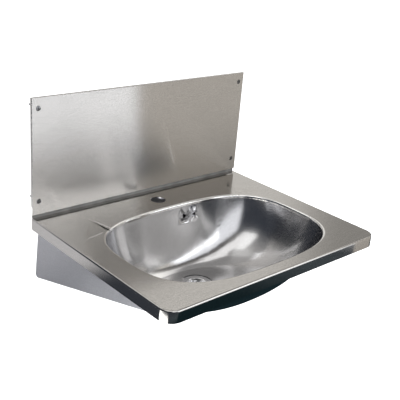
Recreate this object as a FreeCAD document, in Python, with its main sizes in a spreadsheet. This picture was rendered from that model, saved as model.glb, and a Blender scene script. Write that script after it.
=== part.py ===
import FreeCAD, Part
import math
import os

import Sketcher
from FreeCAD import Placement, Rotation, Vector

# Wall-hung wash basin of folded and pressed stainless sheet, with its splashback.
# Frame: X along the wall, Y into the wall, Z up. Y = 0 is the wall, and the origin is
# the middle of the four wall fixings. Every size is in millimetres.

doc = FreeCAD.newDocument("wash_basin")

SIZES = {
    # deck: top sheet with folded apron, rear upstand and the ledge for the tap
    "deck_width": 600,
    "deck_depth": 470,
    "deck_rise": 85,
    "deck_sheet": 1.2,
    "apron_drop": 26,
    "apron_return": 8,
    "edge_bend": 3.5,
    "front_corner": 28,
    "rear_corner": 8,
    "upstand_rise": 22,
    "upstand_inset": 15,
    "tap_hole": 17.5,
    "tap_back": 63,
    # shallow pressed falls on the two rear shoulders of the deck
    "fall_drop": 1.8,
    "fall_rear_outer_side": 199,
    "fall_rear_outer_back": 78,
    "fall_rear_inner_side": 185,
    "fall_rear_inner_back": 132,
    "fall_front_outer_side": 265,
    "fall_front_outer_back": 153,
    "fall_front_inner_side": 210,
    "fall_front_inner_back": 143.5,
    # bowl: drawn from one sheet, seam-welded under the turned-down rim of the deck
    "bowl_sheet": 1.2,
    "bowl_side": 243,
    "bowl_rear": 107.5,
    "bowl_front": 437.5,
    "bowl_fall": 148,
    "bowl_floor_side": 65,
    "bowl_floor_reach": 50,
    "bowl_draft": 0.12,
    "bowl_sweep": 2.4,
    "front_squareness": 3.0,
    "rear_squareness": 2.6,
    "rim_bend": 5,
    "rim_collar": 8,
    "drain_back": 220,
    "recess_radius": 37.5,
    "recess_fall": 3,
    "drain_hole": 24,
    # overflow, beside the middle of the rear bowl wall
    "overflow_side": 55,
    "overflow_fall": 31,
    "overflow_slot_wide": 9.5,
    "overflow_slot_tall": 14,
    "overflow_slot_offset": 13.5,
    "overflow_slot_corner": 1.5,
    "overflow_screw_shank": 2.5,
    "overflow_screw_head": 5.5,
    "overflow_screw_head_rise": 2.5,
    "overflow_screw_length": 26,
    "overflow_boss": 4.5,
    "overflow_gasket_thick": 5,
    "overflow_gasket_gap": 0.1,
    "overflow_gasket_land": 6,
    "overflow_cup_wide": 52,
    "overflow_cup_tall": 30,
    "overflow_cup_deep": 26,
    "overflow_cup_wall": 2.5,
    "pipe_radius": 10,
    "pipe_wall": 1.5,
    "pipe_bend": 30,
    "spigot_radius": 12.5,
    "spigot_length": 22,
    "spigot_overlap": 14,
    "pipe_nut_flats": 31,
    "pipe_nut_grip": 9,
    "pipe_nut_lip": 4,
    "pipe_seal_thick": 3,
    # waste: strainer flange, body below and the screw that draws them together
    "waste_gasket_thick": 1,
    "waste_flange": 35,
    "waste_flange_thick": 2,
    "strainer_radius": 22,
    "strainer_fall": 8,
    "strainer_sheet": 1.2,
    "strainer_hole": 4.6,
    "strainer_hole_circle": 14,
    "strainer_hole_count": 7,
    "waste_screw_shank": 3,
    "waste_screw_head": 7,
    "waste_screw_head_rise": 3,
    "waste_screw_length": 26,
    "lower_gasket_thick": 2,
    "body_flange": 34,
    "body_flange_thick": 4,
    "body_radius": 28,
    "body_wall": 2.5,
    "body_length": 58,
    "tail_radius": 23.9,
    "tail_length": 26,
    "body_boss": 6,
    "body_boss_high": 9,
    "body_boss_low": 23,
    "body_rib": 2.5,
    "body_spigot_fall": 18,
    "body_spigot_reach": 45,
    # side brackets: folded pans under the deck, sloping up to the front
    "bracket_inset": 10,
    "bracket_sheet": 1.5,
    "bracket_flange": 20,
    "bracket_front": 440,
    "bracket_front_drop": 22.6,
    "bracket_rear_drop": 146,
    "bracket_foot_back": 2,
    "bracket_top_back": 18,
    "bracket_corner": 8,
    # rear rail between the brackets, against the wall
    "rail_sheet": 2,
    "rail_notch_side": 22,
    "rail_end_gap": 0.3,
    "rail_notch": 21,
    "rail_top_reach": 48,
    "rail_foot_reach": 30,
    "rail_drop": 130,
    "rail_bend": 4,
    "rail_tap_half": 70,
    "rail_tap_reach": 30,
    "wall_hole": 5.5,
    "wall_hole_from_panel": 40,
    "wall_hole_rise": 30,
    # weld studs, washers and nuts that hold brackets and rail
    "stud_radius": 3,
    "stud_length": 15,
    "stud_from_panel": 11,
    "stud_rear_back": 35,
    "stud_front_back": 330,
    "stud_clearance": 0.3,
    "washer_radius": 6,
    "washer_thick": 1.6,
    "nut_flats": 10,
    "nut_thick": 5,
    # plate that stiffens the tap ledge
    "stiffener_half": 62,
    "stiffener_rear": 33,
    "stiffener_front": 97,
    "stiffener_thick": 3,
    # splashback pan with its screws, spacer sleeves and sealing strip
    "splash_width": 600,
    "splash_height": 256.6,
    "splash_gap": 8.2,
    "splash_front": 9,
    "splash_sheet": 1,
    "splash_return": 5,
    "splash_return_stop": 18,
    "splash_screw_edge": 16,
    "splash_screw_low": 29.8,
    "splash_screw_high": 233.8,
    "dimple_radius": 5.6,
    "dimple_fall": 2.6,
    "dimple_hole": 2.8,
    "splash_screw_head": 4.6,
    "splash_screw_neck": 1.8,
    "splash_screw_shank": 2.2,
    "splash_screw_length": 40,
    "splash_screw_gap": 0.25,
    "sleeve_radius": 9,
    "sleeve_bore": 7,
    "seal_low": 12,
    "seal_high": 21,
    "seal_end_gap": 5,
    # equipotential bonding lug on the rail
    "lug_side": 150,
    "lug_width": 20,
    "lug_drop": 22,
    "lug_thick": 2,
    "lug_screw_radius": 3,
    "lug_screw_length": 16,
    "lug_head_thick": 4,
    # clearance round what passes through a hole, and the smaller one in a thread
    "slip": 0.3,
    "thread_slip": 0.15,
}

sheet = doc.addObject("Spreadsheet::Sheet", "Sizes")
for row, (alias, number) in enumerate(SIZES.items(), 1):
    sheet.set(f"A{row}", alias)
    sheet.set(f"B{row}", str(number))
    sheet.setAlias(f"B{row}", alias)
doc.recompute()

# places that follow from the sizes
PANEL_SIDE = "(Sizes.deck_width / 2 - Sizes.bracket_inset)"
STUD_SIDE = f"({PANEL_SIDE} - Sizes.stud_from_panel)"
WALL_HOLE_SIDE = f"({PANEL_SIDE} - Sizes.wall_hole_from_panel)"

nodes = []


def size(name):
    """Number that the sheet holds under this name."""
    return float(sheet.get(name))


def result(formula):
    """Number that a formula in the sheet's names comes to."""
    return float(sheet.evalExpression(formula))


def bind(thing, **formulas):
    """Ties properties of one object to formulas in the sheet's names."""
    for name, formula in formulas.items():
        thing.setExpression(name.replace("__", "."), formula)
    return thing


def set_down(thing, x, y, z, rotation=Rotation()):
    """Turns an object, and ties its place to three formulas."""
    thing.Placement = Placement(Vector(), rotation)
    return bind(thing, Placement__Base__x=x, Placement__Base__y=y, Placement__Base__z=z)


def node(thing, label):
    """Names a finished sub-part and puts it on the list of nodes."""
    thing.Label = label
    nodes.append(thing)
    return thing


def shaped(label, shape):
    """Sub-part whose outline follows a formula, so its shape is made directly."""
    thing = doc.addObject("Part::Feature", label)
    thing.Shape = shape
    return node(thing, label)


def new_body(name):
    return doc.addObject("PartDesign::Body", name)


def sketch_in(body, name, plane_role):
    """Sketch on one of the body's own origin planes."""
    plane = [p for p in body.Origin.OriginFeatures if p.Role == plane_role][0]
    sketch = body.newObject("Sketcher::SketchObject", name)
    sketch.AttachmentSupport = [(plane, "")]
    sketch.MapMode = "FlatFace"
    return sketch


def tie(sketch, constraint, formula):
    """Adds a sized constraint and ties it to a formula."""
    index = sketch.addConstraint(constraint)
    sketch.setExpression(f"Constraints[{index}]", formula)


def add_outline(sketch, corners):
    """Closed outline of straight edges; a corner is a pair of formulas."""
    first = sketch.GeometryCount
    count = len(corners)
    places = [(result(across), result(up)) for across, up in corners]
    for k in range(count):
        start = Vector(*places[k], 0)
        end = Vector(*places[(k + 1) % count], 0)
        sketch.addGeometry(Part.LineSegment(start, end), False)
    for k in range(count):
        following = first + (k + 1) % count
        sketch.addConstraint(Sketcher.Constraint("Coincident", first + k, 2, following, 1))
    for k, (across, up) in enumerate(corners):
        at = first + k
        tie(sketch, Sketcher.Constraint("DistanceX", -1, 1, at, 1, places[k][0]), across)
        tie(sketch, Sketcher.Constraint("DistanceY", -1, 1, at, 1, places[k][1]), up)


def add_inset(sketch, corners, inset):
    """Outline drawn inside another by a sheet's thickness, edge parallel to edge."""
    count = len(corners)
    places = [Vector(result(across), result(up), 0) for across, up in corners]
    first = sketch.GeometryCount
    for k in range(count):
        sketch.addGeometry(Part.LineSegment(places[k], places[(k + 1) % count]), True)
    for k in range(count):
        following = first + (k + 1) % count
        sketch.addConstraint(Sketcher.Constraint("Coincident", first + k, 2, following, 1))
        across, up = corners[k]
        at = first + k
        tie(sketch, Sketcher.Constraint("DistanceX", -1, 1, at, 1, places[k].x), across)
        tie(sketch, Sketcher.Constraint("DistanceY", -1, 1, at, 1, places[k].y), up)
    outer = Part.makePolygon(places + places[:1])
    inner = outer.makeOffset2D(-result(inset), 2)
    inner_places = [vertex.Point for vertex in inner.OrderedVertexes]
    # the inner corners are put in the order of the outer ones
    inner_places = [min(inner_places, key=lambda p, q=q: (p - q).Length) for q in places]
    start = sketch.GeometryCount
    for k in range(count):
        edge = Part.LineSegment(inner_places[k], inner_places[(k + 1) % count])
        sketch.addGeometry(edge, False)
    for k in range(count):
        following = start + (k + 1) % count
        sketch.addConstraint(Sketcher.Constraint("Coincident", start + k, 2, following, 1))
        sketch.addConstraint(Sketcher.Constraint("Parallel", first + k, start + k))
        distance = Sketcher.Constraint("Distance", start + k, 1, first + k, result(inset))
        tie(sketch, distance, inset)


def add_circle(sketch, across, up, radius):
    """Full circle whose centre and radius are formulas."""
    place = (result(across), result(up))
    circle = Part.Circle(Vector(*place, 0), Vector(0, 0, 1), result(radius))
    at = sketch.addGeometry(circle, False)
    tie(sketch, Sketcher.Constraint("Radius", at, circle.Radius), radius)
    tie(sketch, Sketcher.Constraint("DistanceX", -1, 1, at, 3, place[0]), across)
    tie(sketch, Sketcher.Constraint("DistanceY", -1, 1, at, 3, place[1]), up)


def add_box(sketch, left, right, low, high):
    """Upright rectangle between four formulas."""
    add_outline(sketch, [(left, low), (right, low), (right, high), (left, high)])


def pad(body, sketch, name, length, midplane=False, reverse=False):
    feature = body.newObject("PartDesign::Pad", name)
    feature.Profile = sketch
    feature.Reversed = reverse
    if midplane:
        feature.SideType = "Symmetric"
    return bind(feature, Length=length)


def pocket(body, sketch, name, length, midplane=False, reverse=False):
    """Cuts a sketch out of the body, and stops if it cuts nothing."""
    doc.recompute()
    before = body.Shape.Volume
    feature = body.newObject("PartDesign::Pocket", name)
    feature.Profile = sketch
    feature.Reversed = reverse
    if midplane:
        feature.SideType = "Symmetric"
    bind(feature, Length=length)
    doc.recompute()
    if not feature.Shape.Volume < before - 0.01:
        raise RuntimeError(f"{name} cuts nothing")
    return feature


def revolve(body, sketch, name):
    """Full turn of a sketch about the sketch's own upright axis."""
    feature = body.newObject("PartDesign::Revolution", name)
    feature.Profile = sketch
    feature.ReferenceAxis = (sketch, ["V_Axis"])
    feature.Angle = 360
    return feature


def turned(name, corners):
    """Body turned on a lathe: half section as radius and height formulas."""
    body = new_body(name)
    sketch = sketch_in(body, f"{name}_section", "XZ_Plane")
    add_outline(sketch, corners)
    revolve(body, sketch, f"{name}_turn")
    return body


def ring_section(inner, outer, low, high):
    return [(inner, low), (outer, low), (outer, high), (inner, high)]


def round_over(body, name, radius, wanted):
    """Rounds the edges of the body's present shape that the test picks out."""
    doc.recompute()
    tip = body.Tip
    picked = [f"Edge{k}" for k, edge in enumerate(tip.Shape.Edges, 1) if wanted(edge)]
    feature = body.newObject("PartDesign::Fillet", name)
    feature.Base = (tip, picked)
    bind(feature, Radius=radius)
    return feature


def copies(label, master, places):
    """Group of like pieces: one link to the master for each place."""
    links = []
    for k, (x, y, z, rotation) in enumerate(places, 1):
        link = doc.addObject("App::Link", f"{label}_{k}")
        link.LinkedObject = master
        set_down(link, x, y, z, rotation)
        links.append(link)
    group = doc.addObject("Part::Compound", label)
    group.Links = links
    return node(group, label)


UP = Rotation()
TO_WALL = Rotation(Vector(1, 0, 0), -90)
FLIP = Rotation(Vector(1, 0, 0), 180)

# --------------------------------------------------------------------------------------
# Outlines of the bowl. The plan is a squared oval: the front half and the rear half
# have their own squareness and both fade to a plain oval at the floor. Going down, the
# walls lean in by the draft and then sweep round to the floor about the drain.


def sweep_share(depth_share):
    """How far the walls have swept in, 0 at the rim and 1 on the floor."""
    power = size("bowl_sweep")
    return 1 - (1 - min(depth_share, 1.0) ** power) ** (1 / power)


def bowl_plan(depth_share, outset=0.0):
    """Middle line, half width, front and rear reach and both squarenesses of a level."""
    swept = sweep_share(depth_share)
    lean = size("bowl_draft") * size("bowl_fall") * depth_share
    full_lean = size("bowl_draft") * size("bowl_fall")

    def run(rim, floor):
        return rim - lean - (rim - floor - full_lean) * swept

    rim_middle = (size("bowl_front") + size("bowl_rear")) / 2
    drain = size("drain_back")
    reach = size("bowl_floor_reach")
    front = run(size("bowl_front"), drain + reach)
    rear = -run(-size("bowl_rear"), -(drain - reach))
    middle = rim_middle + (drain - rim_middle) * swept
    half = run(size("bowl_side"), size("bowl_floor_side"))
    squareness = [
        size(name) + (2 - size(name)) * depth_share
        for name in ("front_squareness", "rear_squareness")
    ]
    return middle, half + outset, front - middle + outset, middle - rear + outset, squareness


def bowl_wire(depth_share, level, outset=0.0):
    """Closed smooth curve round the bowl at one level."""
    middle, half, front, rear, squareness = bowl_plan(depth_share, outset)
    count = 32
    points = []
    for k in range(count):
        turn = 2 * math.pi * k / count
        across, along = math.cos(turn), math.sin(turn)
        power = squareness[0] if along < 0 else squareness[1]
        reach = front if along < 0 else rear
        x = half * math.copysign(abs(across) ** (2 / power), across)
        y = -middle + reach * math.copysign(abs(along) ** (2 / power), along)
        points.append(Vector(x, y, level))
    curve = Part.BSplineCurve()
    curve.interpolate(points, PeriodicFlag=True)
    return Part.Wire([curve.toShape()])


def bowl_levels(outset=0.0):
    """Curves from the foot of the collar to the floor, grown outwards by a sheet."""
    top = size("deck_rise")
    fall = size("bowl_fall")
    steps = 9
    start = math.asin((size("rim_collar") / fall) ** (size("bowl_sweep") / 2))
    wires = []
    for k in range(steps):
        turn = start + (math.pi / 2 - start) * k / (steps - 1)
        share = min(math.sin(turn) ** (2 / size("bowl_sweep")), 1.0)
        # the sheet's thickness counts sideways on the wall and downwards on the floor
        sideways = outset * math.cos(turn)
        down = outset * math.sin(turn)
        if k == 0:
            sideways, down = outset, 0.0
        wires.append(bowl_wire(share, top - fall * share - down, sideways))
    return wires


def rim_prism(outset, high, low):
    """Upright prism on the bowl's outline at the collar."""
    wire = bowl_wire(size("rim_collar") / size("bowl_fall"), low, outset)
    return Part.Face(wire).extrude(Vector(0, 0, high - low))


def wall_place(side, fall, outset=0.0):
    """Point of the rear bowl wall at a distance from the middle and below the deck."""
    middle, half, _, rear, squareness = bowl_plan(fall / size("bowl_fall"), outset)
    share = (1 - (abs(side) / half) ** squareness[1]) ** (1 / squareness[1])
    return Vector(side, -middle + rear * share, size("deck_rise") - fall)


# --------------------------------------------------------------------------------------
# Deck. Folded from one stainless sheet: apron on three sides with a narrow return,
# upstand at the wall, rim turned down into the bowl and a hole for the tap.


def plan_block(inset, high, low, bend):
    """Block with the deck's plan, its corners and its top edge rounded."""
    half = size("deck_width") / 2 - inset
    front = -size("deck_depth") + inset
    corners = [(-half, front), (half, front), (half, -inset), (-half, -inset)]
    places = [Vector(x, y, low) for x, y in corners]
    block = Part.Face(Part.makePolygon(places + places[:1])).extrude(Vector(0, 0, high - low))
    middle = -size("deck_depth") / 2
    for corner, is_front in (("front_corner", True), ("rear_corner", False)):
        upright = [
            edge
            for edge in block.Edges
            if abs(edge.tangentAt(edge.FirstParameter).z) > 0.99
            and (edge.CenterOfMass.y < middle) == is_front
        ]
        if size(corner) > inset:
            block = block.makeFillet(size(corner) - inset, upright)
    if bend > 0:
        top_edges = [edge for edge in block.Edges if abs(edge.BoundBox.ZMin - high) < 1e-6]
        block = block.makeFillet(bend, top_edges)
    return block


def bowl_mouth(outset, high, low, bend):
    """Cutter for the mouth: the rim prism with its upper edge flared by a bend."""
    block = Part.makeBox(
        size("deck_width"), size("deck_depth"), high - low,
        Vector(-size("deck_width") / 2, -size("deck_depth"), low),
    )
    holed = block.cut(rim_prism(outset, high + 1, low - 1))
    rim = [
        edge
        for edge in holed.Edges
        if abs(edge.BoundBox.ZMin - high) < 1e-6
        and abs(edge.BoundBox.ZMax - high) < 1e-6
        and not isinstance(edge.Curve, Part.Line)
    ]
    return block.cut(holed.makeFillet(bend, rim))


def fall_cutter(mirror, drop):
    """Space above one pressed shoulder fall, which sinks towards the bowl."""
    top = size("deck_rise") - drop
    outer_rear = Vector(-size("fall_rear_outer_side"), -size("fall_rear_outer_back"), top)
    outer_front = Vector(-size("fall_front_outer_side"), -size("fall_front_outer_back"), top)
    rear = Vector(-size("fall_rear_inner_side"), -size("fall_rear_inner_back"), top)
    front = Vector(-size("fall_front_inner_side"), -size("fall_front_inner_back"), top)
    beyond = 1.35  # the fall runs on past its inner corners, out over the mouth
    far_rear = outer_rear + (rear - outer_rear) * beyond
    far_front = outer_front + (front - outer_front) * beyond
    along = (outer_front - outer_rear).normalize()
    inward = along.cross(Vector(0, 0, 1))
    if inward.dot(rear - outer_rear) < 0:
        inward = inward * -1
    run = ((rear + front) / 2 - outer_rear).dot(inward)
    for place in (far_rear, far_front):
        place.z = top - size("fall_drop") * (place - outer_rear).dot(inward) / run
    face = Part.Face(Part.makePolygon([outer_rear, outer_front, far_front, far_rear, outer_rear]))
    cutter = face.extrude(Vector(0, 0, 3 * size("fall_drop")))
    return cutter.mirror(Vector(), Vector(1, 0, 0)) if mirror else cutter


def deck_shape():
    top = size("deck_rise")
    thick = size("deck_sheet")
    low = top - size("apron_drop")
    width, depth = size("deck_width"), size("deck_depth")
    outside = plan_block(0, top, low, size("edge_bend"))
    inside = plan_block(thick, top - thick, low - 1, size("edge_bend") - thick)
    outside = outside.cut(bowl_mouth(0, top, low, size("rim_bend")))
    # the collar ends where the bowl is welded on
    collar_foot = top - size("rim_collar")
    inside = inside.cut(
        bowl_mouth(thick, top - thick, collar_foot, size("rim_bend") - thick)
    )
    for mirror in (False, True):
        outside = outside.cut(fall_cutter(mirror, 0))
        inside = inside.cut(fall_cutter(mirror, thick))
    skin = outside.cut(inside)
    # the apron stops at the rear corners, where the sheet turns up instead
    rear_half = width / 2 - size("rear_corner")
    rear_gap = Part.makeBox(
        2 * rear_half, 2 * thick, top - size("edge_bend") - low + 1,
        Vector(-rear_half, -thick, low - 1),
    )
    skin = skin.cut(rear_gap)
    upstand_half = width / 2 - size("upstand_inset")
    upstand = Part.makeBox(
        2 * upstand_half, thick, size("upstand_rise") + size("edge_bend"),
        Vector(-upstand_half, -thick, top - size("edge_bend")),
    )
    # the lower edge of the apron is returned inwards on the sides and the front
    lip = plan_block(0, low + thick, low, 0).cut(
        plan_block(size("apron_return"), low + 2 * thick, low - 1, 0)
    )
    rear_strip = Part.makeBox(
        width, size("rear_corner") + size("apron_return"), 3 * thick,
        Vector(-width / 2, -size("rear_corner") - size("apron_return"), low - thick),
    )
    lip = lip.cut(rear_strip)
    tap_hole = Part.makeCylinder(
        size("tap_hole"), 3 * thick, Vector(0, -size("tap_back"), top - 2 * thick)
    )
    return skin.fuse([upstand, lip]).cut(tap_hole).removeSplitter()


shaped("deck", deck_shape())

# --------------------------------------------------------------------------------------
# Bowl. Pressed from one sheet, with a stamped recess round the drain and the two
# overflow openings with the screw hole between them.


def drain_cylinder(radius, high, low):
    centre = Vector(0, -size("drain_back"), low)
    return Part.makeCylinder(radius, high - low, centre)


def overflow_cutters(deep_from, deep_to):
    """The two overflow openings and the screw hole, along the Y direction."""
    level = size("deck_rise") - size("overflow_fall")
    wide, tall = size("overflow_slot_wide"), size("overflow_slot_tall")
    cutters = []
    for direction in (-1, 1):
        middle = size("overflow_side") + direction * size("overflow_slot_offset")
        slot = Part.makeBox(
            wide, deep_to - deep_from, tall, Vector(middle - wide / 2, deep_from, level - tall / 2)
        )
        along = [e for e in slot.Edges if abs(e.tangentAt(e.FirstParameter).y) > 0.99]
        cutters.append(slot.makeFillet(size("overflow_slot_corner"), along))
    bore = size("overflow_screw_shank") + size("slip")
    centre = Vector(size("overflow_side"), deep_from, level)
    cutters.append(Part.makeCylinder(bore, deep_to - deep_from, centre, Vector(0, 1, 0)))
    return cutters


def bowl_shape():
    thick = size("bowl_sheet")
    floor = size("deck_rise") - size("bowl_fall")
    recess = size("recess_fall")
    radius = size("recess_radius")
    inner, outer = bowl_levels(), bowl_levels(thick)
    rim = Part.makeFace([outer[0], inner[0]], "Part::FaceMakerBullseye")
    walls = [Part.makeLoft(wires, False, False).Faces for wires in (inner, outer)]
    skins = Part.Compound([rim, *walls[0], *walls[1], Part.Face(inner[-1]), Part.Face(outer[-1])])
    skins.sewShape()
    shell = Part.Solid(skins.Shells[0])
    if shell.Volume < 0:
        shell.reverse()
    shell = shell.fuse(drain_cylinder(radius + thick, floor - thick / 2, floor - recess - thick))
    cutters = [drain_cylinder(radius, floor + thick, floor - recess)]
    cutters.append(drain_cylinder(size("drain_hole"), floor, floor - recess - 2 * thick))
    wall = wall_place(size("overflow_side"), size("overflow_fall")).y
    cutters += overflow_cutters(wall - 5 * thick, wall + 5 * thick)
    return shell.cut(cutters)


shaped("bowl", bowl_shape())

# --------------------------------------------------------------------------------------
# Plate welded under the tap ledge, so that the sheet doesn't flex under the tap.

stiffener = new_body("StiffenerBody")
stiffener_plan = sketch_in(stiffener, "StiffenerPlan", "XY_Plane")
add_box(
    stiffener_plan,
    "-Sizes.stiffener_half",
    "Sizes.stiffener_half",
    "-Sizes.stiffener_front",
    "-Sizes.stiffener_rear",
)
add_circle(stiffener_plan, "0", "-Sizes.tap_back", "Sizes.tap_hole")
pad(stiffener, stiffener_plan, "StiffenerPad", "Sizes.stiffener_thick", reverse=True)
round_over(
    stiffener, "StiffenerCorners", "8 * Sizes.deck_sheet",
    lambda edge: abs(edge.tangentAt(edge.FirstParameter).z) > 0.99
    and isinstance(edge.Curve, Part.Line)
    and abs(edge.CenterOfMass.x) > 1.5 * size("tap_hole"),
)
set_down(stiffener, "0", "0", "Sizes.deck_rise - Sizes.deck_sheet")
node(stiffener, "tap_ledge_stiffener")

# --------------------------------------------------------------------------------------
# Side brackets. Each is a sheet pan, open to the inside: its top flange is screwed to
# the deck, its lower edge slopes up to the front and its rear edge leans to the wall.


def bracket(label, side):
    """One bracket; side is -1 at the left and 1 at the right."""
    body = new_body(f"{label}_body")
    profile = sketch_in(body, f"{label}_profile", "YZ_Plane")
    top = "Sizes.deck_rise - Sizes.deck_sheet"
    corners = [
        ("-Sizes.bracket_front", top),
        ("-Sizes.bracket_front", "Sizes.deck_rise - Sizes.bracket_front_drop"),
        ("-Sizes.bracket_foot_back", "Sizes.deck_rise - Sizes.bracket_rear_drop"),
        ("-Sizes.bracket_top_back", top),
    ]
    add_outline(profile, corners)
    pad(body, profile, f"{label}_pad", "Sizes.bracket_flange", reverse=side > 0)
    hollow = sketch_in(body, f"{label}_hollow", "YZ_Plane")
    hollow.AttachmentOffset = Placement(Vector(0, 0, -side * size("bracket_sheet")), Rotation())
    bind(hollow, AttachmentOffset__Base__z=f"{-side} * Sizes.bracket_sheet")
    add_inset(hollow, corners, "Sizes.bracket_sheet")
    pocket(body, hollow, f"{label}_hollow_cut", "Sizes.bracket_flange", reverse=side < 0)
    low = size("deck_rise") - size("bracket_rear_drop")

    def at_foot(edge, inside):
        across = abs(edge.tangentAt(edge.FirstParameter).x) > 0.99
        near = abs(edge.CenterOfMass.y) < size("bracket_corner")
        above = edge.CenterOfMass.z - low
        return across and near and above < 3 * size("bracket_sheet") and (above > 0.1) == inside

    inner_radius = "Sizes.bracket_corner - Sizes.bracket_sheet"
    round_over(body, f"{label}_inner_corner", inner_radius, lambda edge: at_foot(edge, True))
    round_over(
        body, f"{label}_corner", "Sizes.bracket_corner", lambda edge: at_foot(edge, False)
    )
    holes = sketch_in(body, f"{label}_holes", "XY_Plane")
    stud_from_panel = f"{-side} * Sizes.stud_from_panel"
    for back in ("Sizes.stud_rear_back", "Sizes.stud_front_back"):
        add_circle(holes, stud_from_panel, f"-{back}", "Sizes.stud_radius + Sizes.stud_clearance")
    pocket(body, holes, f"{label}_hole_cut", "Sizes.deck_rise", reverse=True)
    set_down(body, f"{side} * {PANEL_SIDE}", "0", "0")
    return node(body, label)


bracket("left_bracket", -1)
bracket("right_bracket", 1)

# --------------------------------------------------------------------------------------
# Wall rail. A folded channel along the wall under the brackets' top flanges: it carries
# the four wall fixings, is notched behind the brackets and round the tap's shank.

rail = new_body("RailBody")
rail_section = sketch_in(rail, "RailSection", "YZ_Plane")
rail_top = "Sizes.deck_rise - Sizes.deck_sheet - Sizes.bracket_sheet"
rail_foot = "Sizes.deck_rise - Sizes.rail_drop"
add_outline(
    rail_section,
    [
        ("-Sizes.rail_top_reach", rail_top),
        ("0", rail_top),
        ("0", rail_foot),
        ("-Sizes.rail_foot_reach", rail_foot),
        ("-Sizes.rail_foot_reach", f"{rail_foot} + Sizes.rail_sheet"),
        ("-Sizes.rail_sheet", f"{rail_foot} + Sizes.rail_sheet"),
        ("-Sizes.rail_sheet", f"{rail_top} - Sizes.rail_sheet"),
        ("-Sizes.rail_top_reach", f"{rail_top} - Sizes.rail_sheet"),
    ],
)
rail_length = f"2 * ({PANEL_SIDE} - Sizes.bracket_sheet - Sizes.rail_end_gap)"
pad(rail, rail_section, "RailPad", rail_length, midplane=True)


def rail_corner(edge, back):
    """Long edges of the channel's two bends, on the wall's side or inside."""
    along = abs(edge.tangentAt(edge.FirstParameter).x) > 0.99
    return along and abs(edge.CenterOfMass.y + back) < 0.01


round_over(rail, "RailBends", "Sizes.rail_bend", lambda edge: rail_corner(edge, 0))
round_over(
    rail, "RailInnerBends", "Sizes.rail_bend - Sizes.rail_sheet",
    lambda edge: rail_corner(edge, size("rail_sheet")),
)
rail_notches = sketch_in(rail, "RailNotches", "XY_Plane")
rail_half_back = f"({PANEL_SIDE} - Sizes.rail_notch_side)"
for left, right in (
    (f"-{PANEL_SIDE}", f"-{rail_half_back}"),
    (rail_half_back, PANEL_SIDE),
):
    add_box(rail_notches, left, right, "-Sizes.rail_notch", "Sizes.rail_notch")
add_box(
    rail_notches,
    "-Sizes.rail_tap_half",
    "Sizes.rail_tap_half",
    "-2 * Sizes.rail_top_reach",
    "-Sizes.rail_tap_reach",
)
for side in ("-", ""):
    place = (f"{side}{STUD_SIDE}", "-Sizes.stud_rear_back")
    add_circle(rail_notches, *place, "Sizes.stud_radius + Sizes.stud_clearance")
pocket(rail, rail_notches, "RailNotchCut", "4 * Sizes.rail_drop", midplane=True)
rail_holes = sketch_in(rail, "RailWallHoles", "XZ_Plane")
for side in ("-", ""):
    for rise in ("-", ""):
        place = (f"{side}{WALL_HOLE_SIDE}", f"{rise}Sizes.wall_hole_rise")
        add_circle(rail_holes, *place, "Sizes.wall_hole")
pocket(rail, rail_holes, "RailWallHoleCut", "4 * Sizes.rail_sheet", midplane=True)
node(rail, "wall_rail")

# --------------------------------------------------------------------------------------
# Weld studs under the deck, with the washers and nuts that hold brackets and rail.


def stud_places(rear_height, front_height):
    """Places of the four studs at the heights of the rear and the front pair."""
    places = []
    for side in ("-", ""):
        x = f"{side}{STUD_SIDE}"
        places.append((x, "-Sizes.stud_rear_back", rear_height, UP))
        places.append((x, "-Sizes.stud_front_back", front_height, UP))
    return places


stud = turned(
    "Stud", ring_section("0", "Sizes.stud_radius", "-Sizes.stud_length", "0")
)
deck_underside = "Sizes.deck_rise - Sizes.deck_sheet"
copies("weld_studs", stud, stud_places(deck_underside, deck_underside))

stud_hole = "Sizes.stud_radius + Sizes.thread_slip"
washer = turned(
    "Washer", ring_section(stud_hole, "Sizes.washer_radius", "-Sizes.washer_thick", "0")
)
under_bracket = f"{deck_underside} - Sizes.bracket_sheet"
under_rail = f"{under_bracket} - Sizes.rail_sheet"
copies("stud_washers", washer, stud_places(under_rail, under_bracket))


def hexagon(name, flats, thick, bore, base="0"):
    """Hexagonal prism with a round bore, standing on its base."""
    block = doc.addObject("Part::Prism", f"{name}Block")
    block.Polygon = 6
    bind(block, Circumradius=f"({flats}) / sqrt(3)", Height=thick)
    hole = doc.addObject("Part::Cylinder", f"{name}Bore")
    bind(hole, Radius=bore, Height=f"3 * ({thick})")
    set_down(block, "0", "0", base)
    set_down(hole, "0", "0", f"({base}) - ({thick})")
    cut = doc.addObject("Part::Cut", name)
    cut.Base = block
    cut.Tool = hole
    return cut


nut = hexagon("Nut", "Sizes.nut_flats", "Sizes.nut_thick", stud_hole, "-Sizes.nut_thick")
copies(
    "stud_nuts", nut,
    stud_places(f"{under_rail} - Sizes.washer_thick", f"{under_bracket} - Sizes.washer_thick"),
)

# --------------------------------------------------------------------------------------
# Splashback. A flat sheet with narrow returns at the top and both sides, which stop
# short of the lower edge, and a pressed dimple for each of its four screws.

splash = new_body("SplashBody")
splash_low = "Sizes.deck_rise + Sizes.splash_gap"
splash_high = f"{splash_low} + Sizes.splash_height"
half_splash = "Sizes.splash_width / 2"
splash_face = sketch_in(splash, "SplashFace", "XZ_Plane")
bind(splash_face, AttachmentOffset__Base__z="Sizes.splash_front")
add_box(splash_face, f"-{half_splash}", half_splash, splash_low, splash_high)
pad(splash, splash_face, "SplashPad", "Sizes.splash_return", reverse=True)
splash_front_y = -size("splash_front")
splash_top_z = result(splash_high)
round_over(
    splash, "SplashBends", "1.5 * Sizes.splash_sheet",
    lambda edge: abs(edge.CenterOfMass.y - splash_front_y) < 0.01
    and (abs(edge.CenterOfMass.x) > 1 or abs(edge.CenterOfMass.z - splash_top_z) < 0.01),
)
splash_hollow = sketch_in(splash, "SplashHollow", "XZ_Plane")
bind(splash_hollow, AttachmentOffset__Base__z="Sizes.splash_front - Sizes.splash_sheet")
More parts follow.
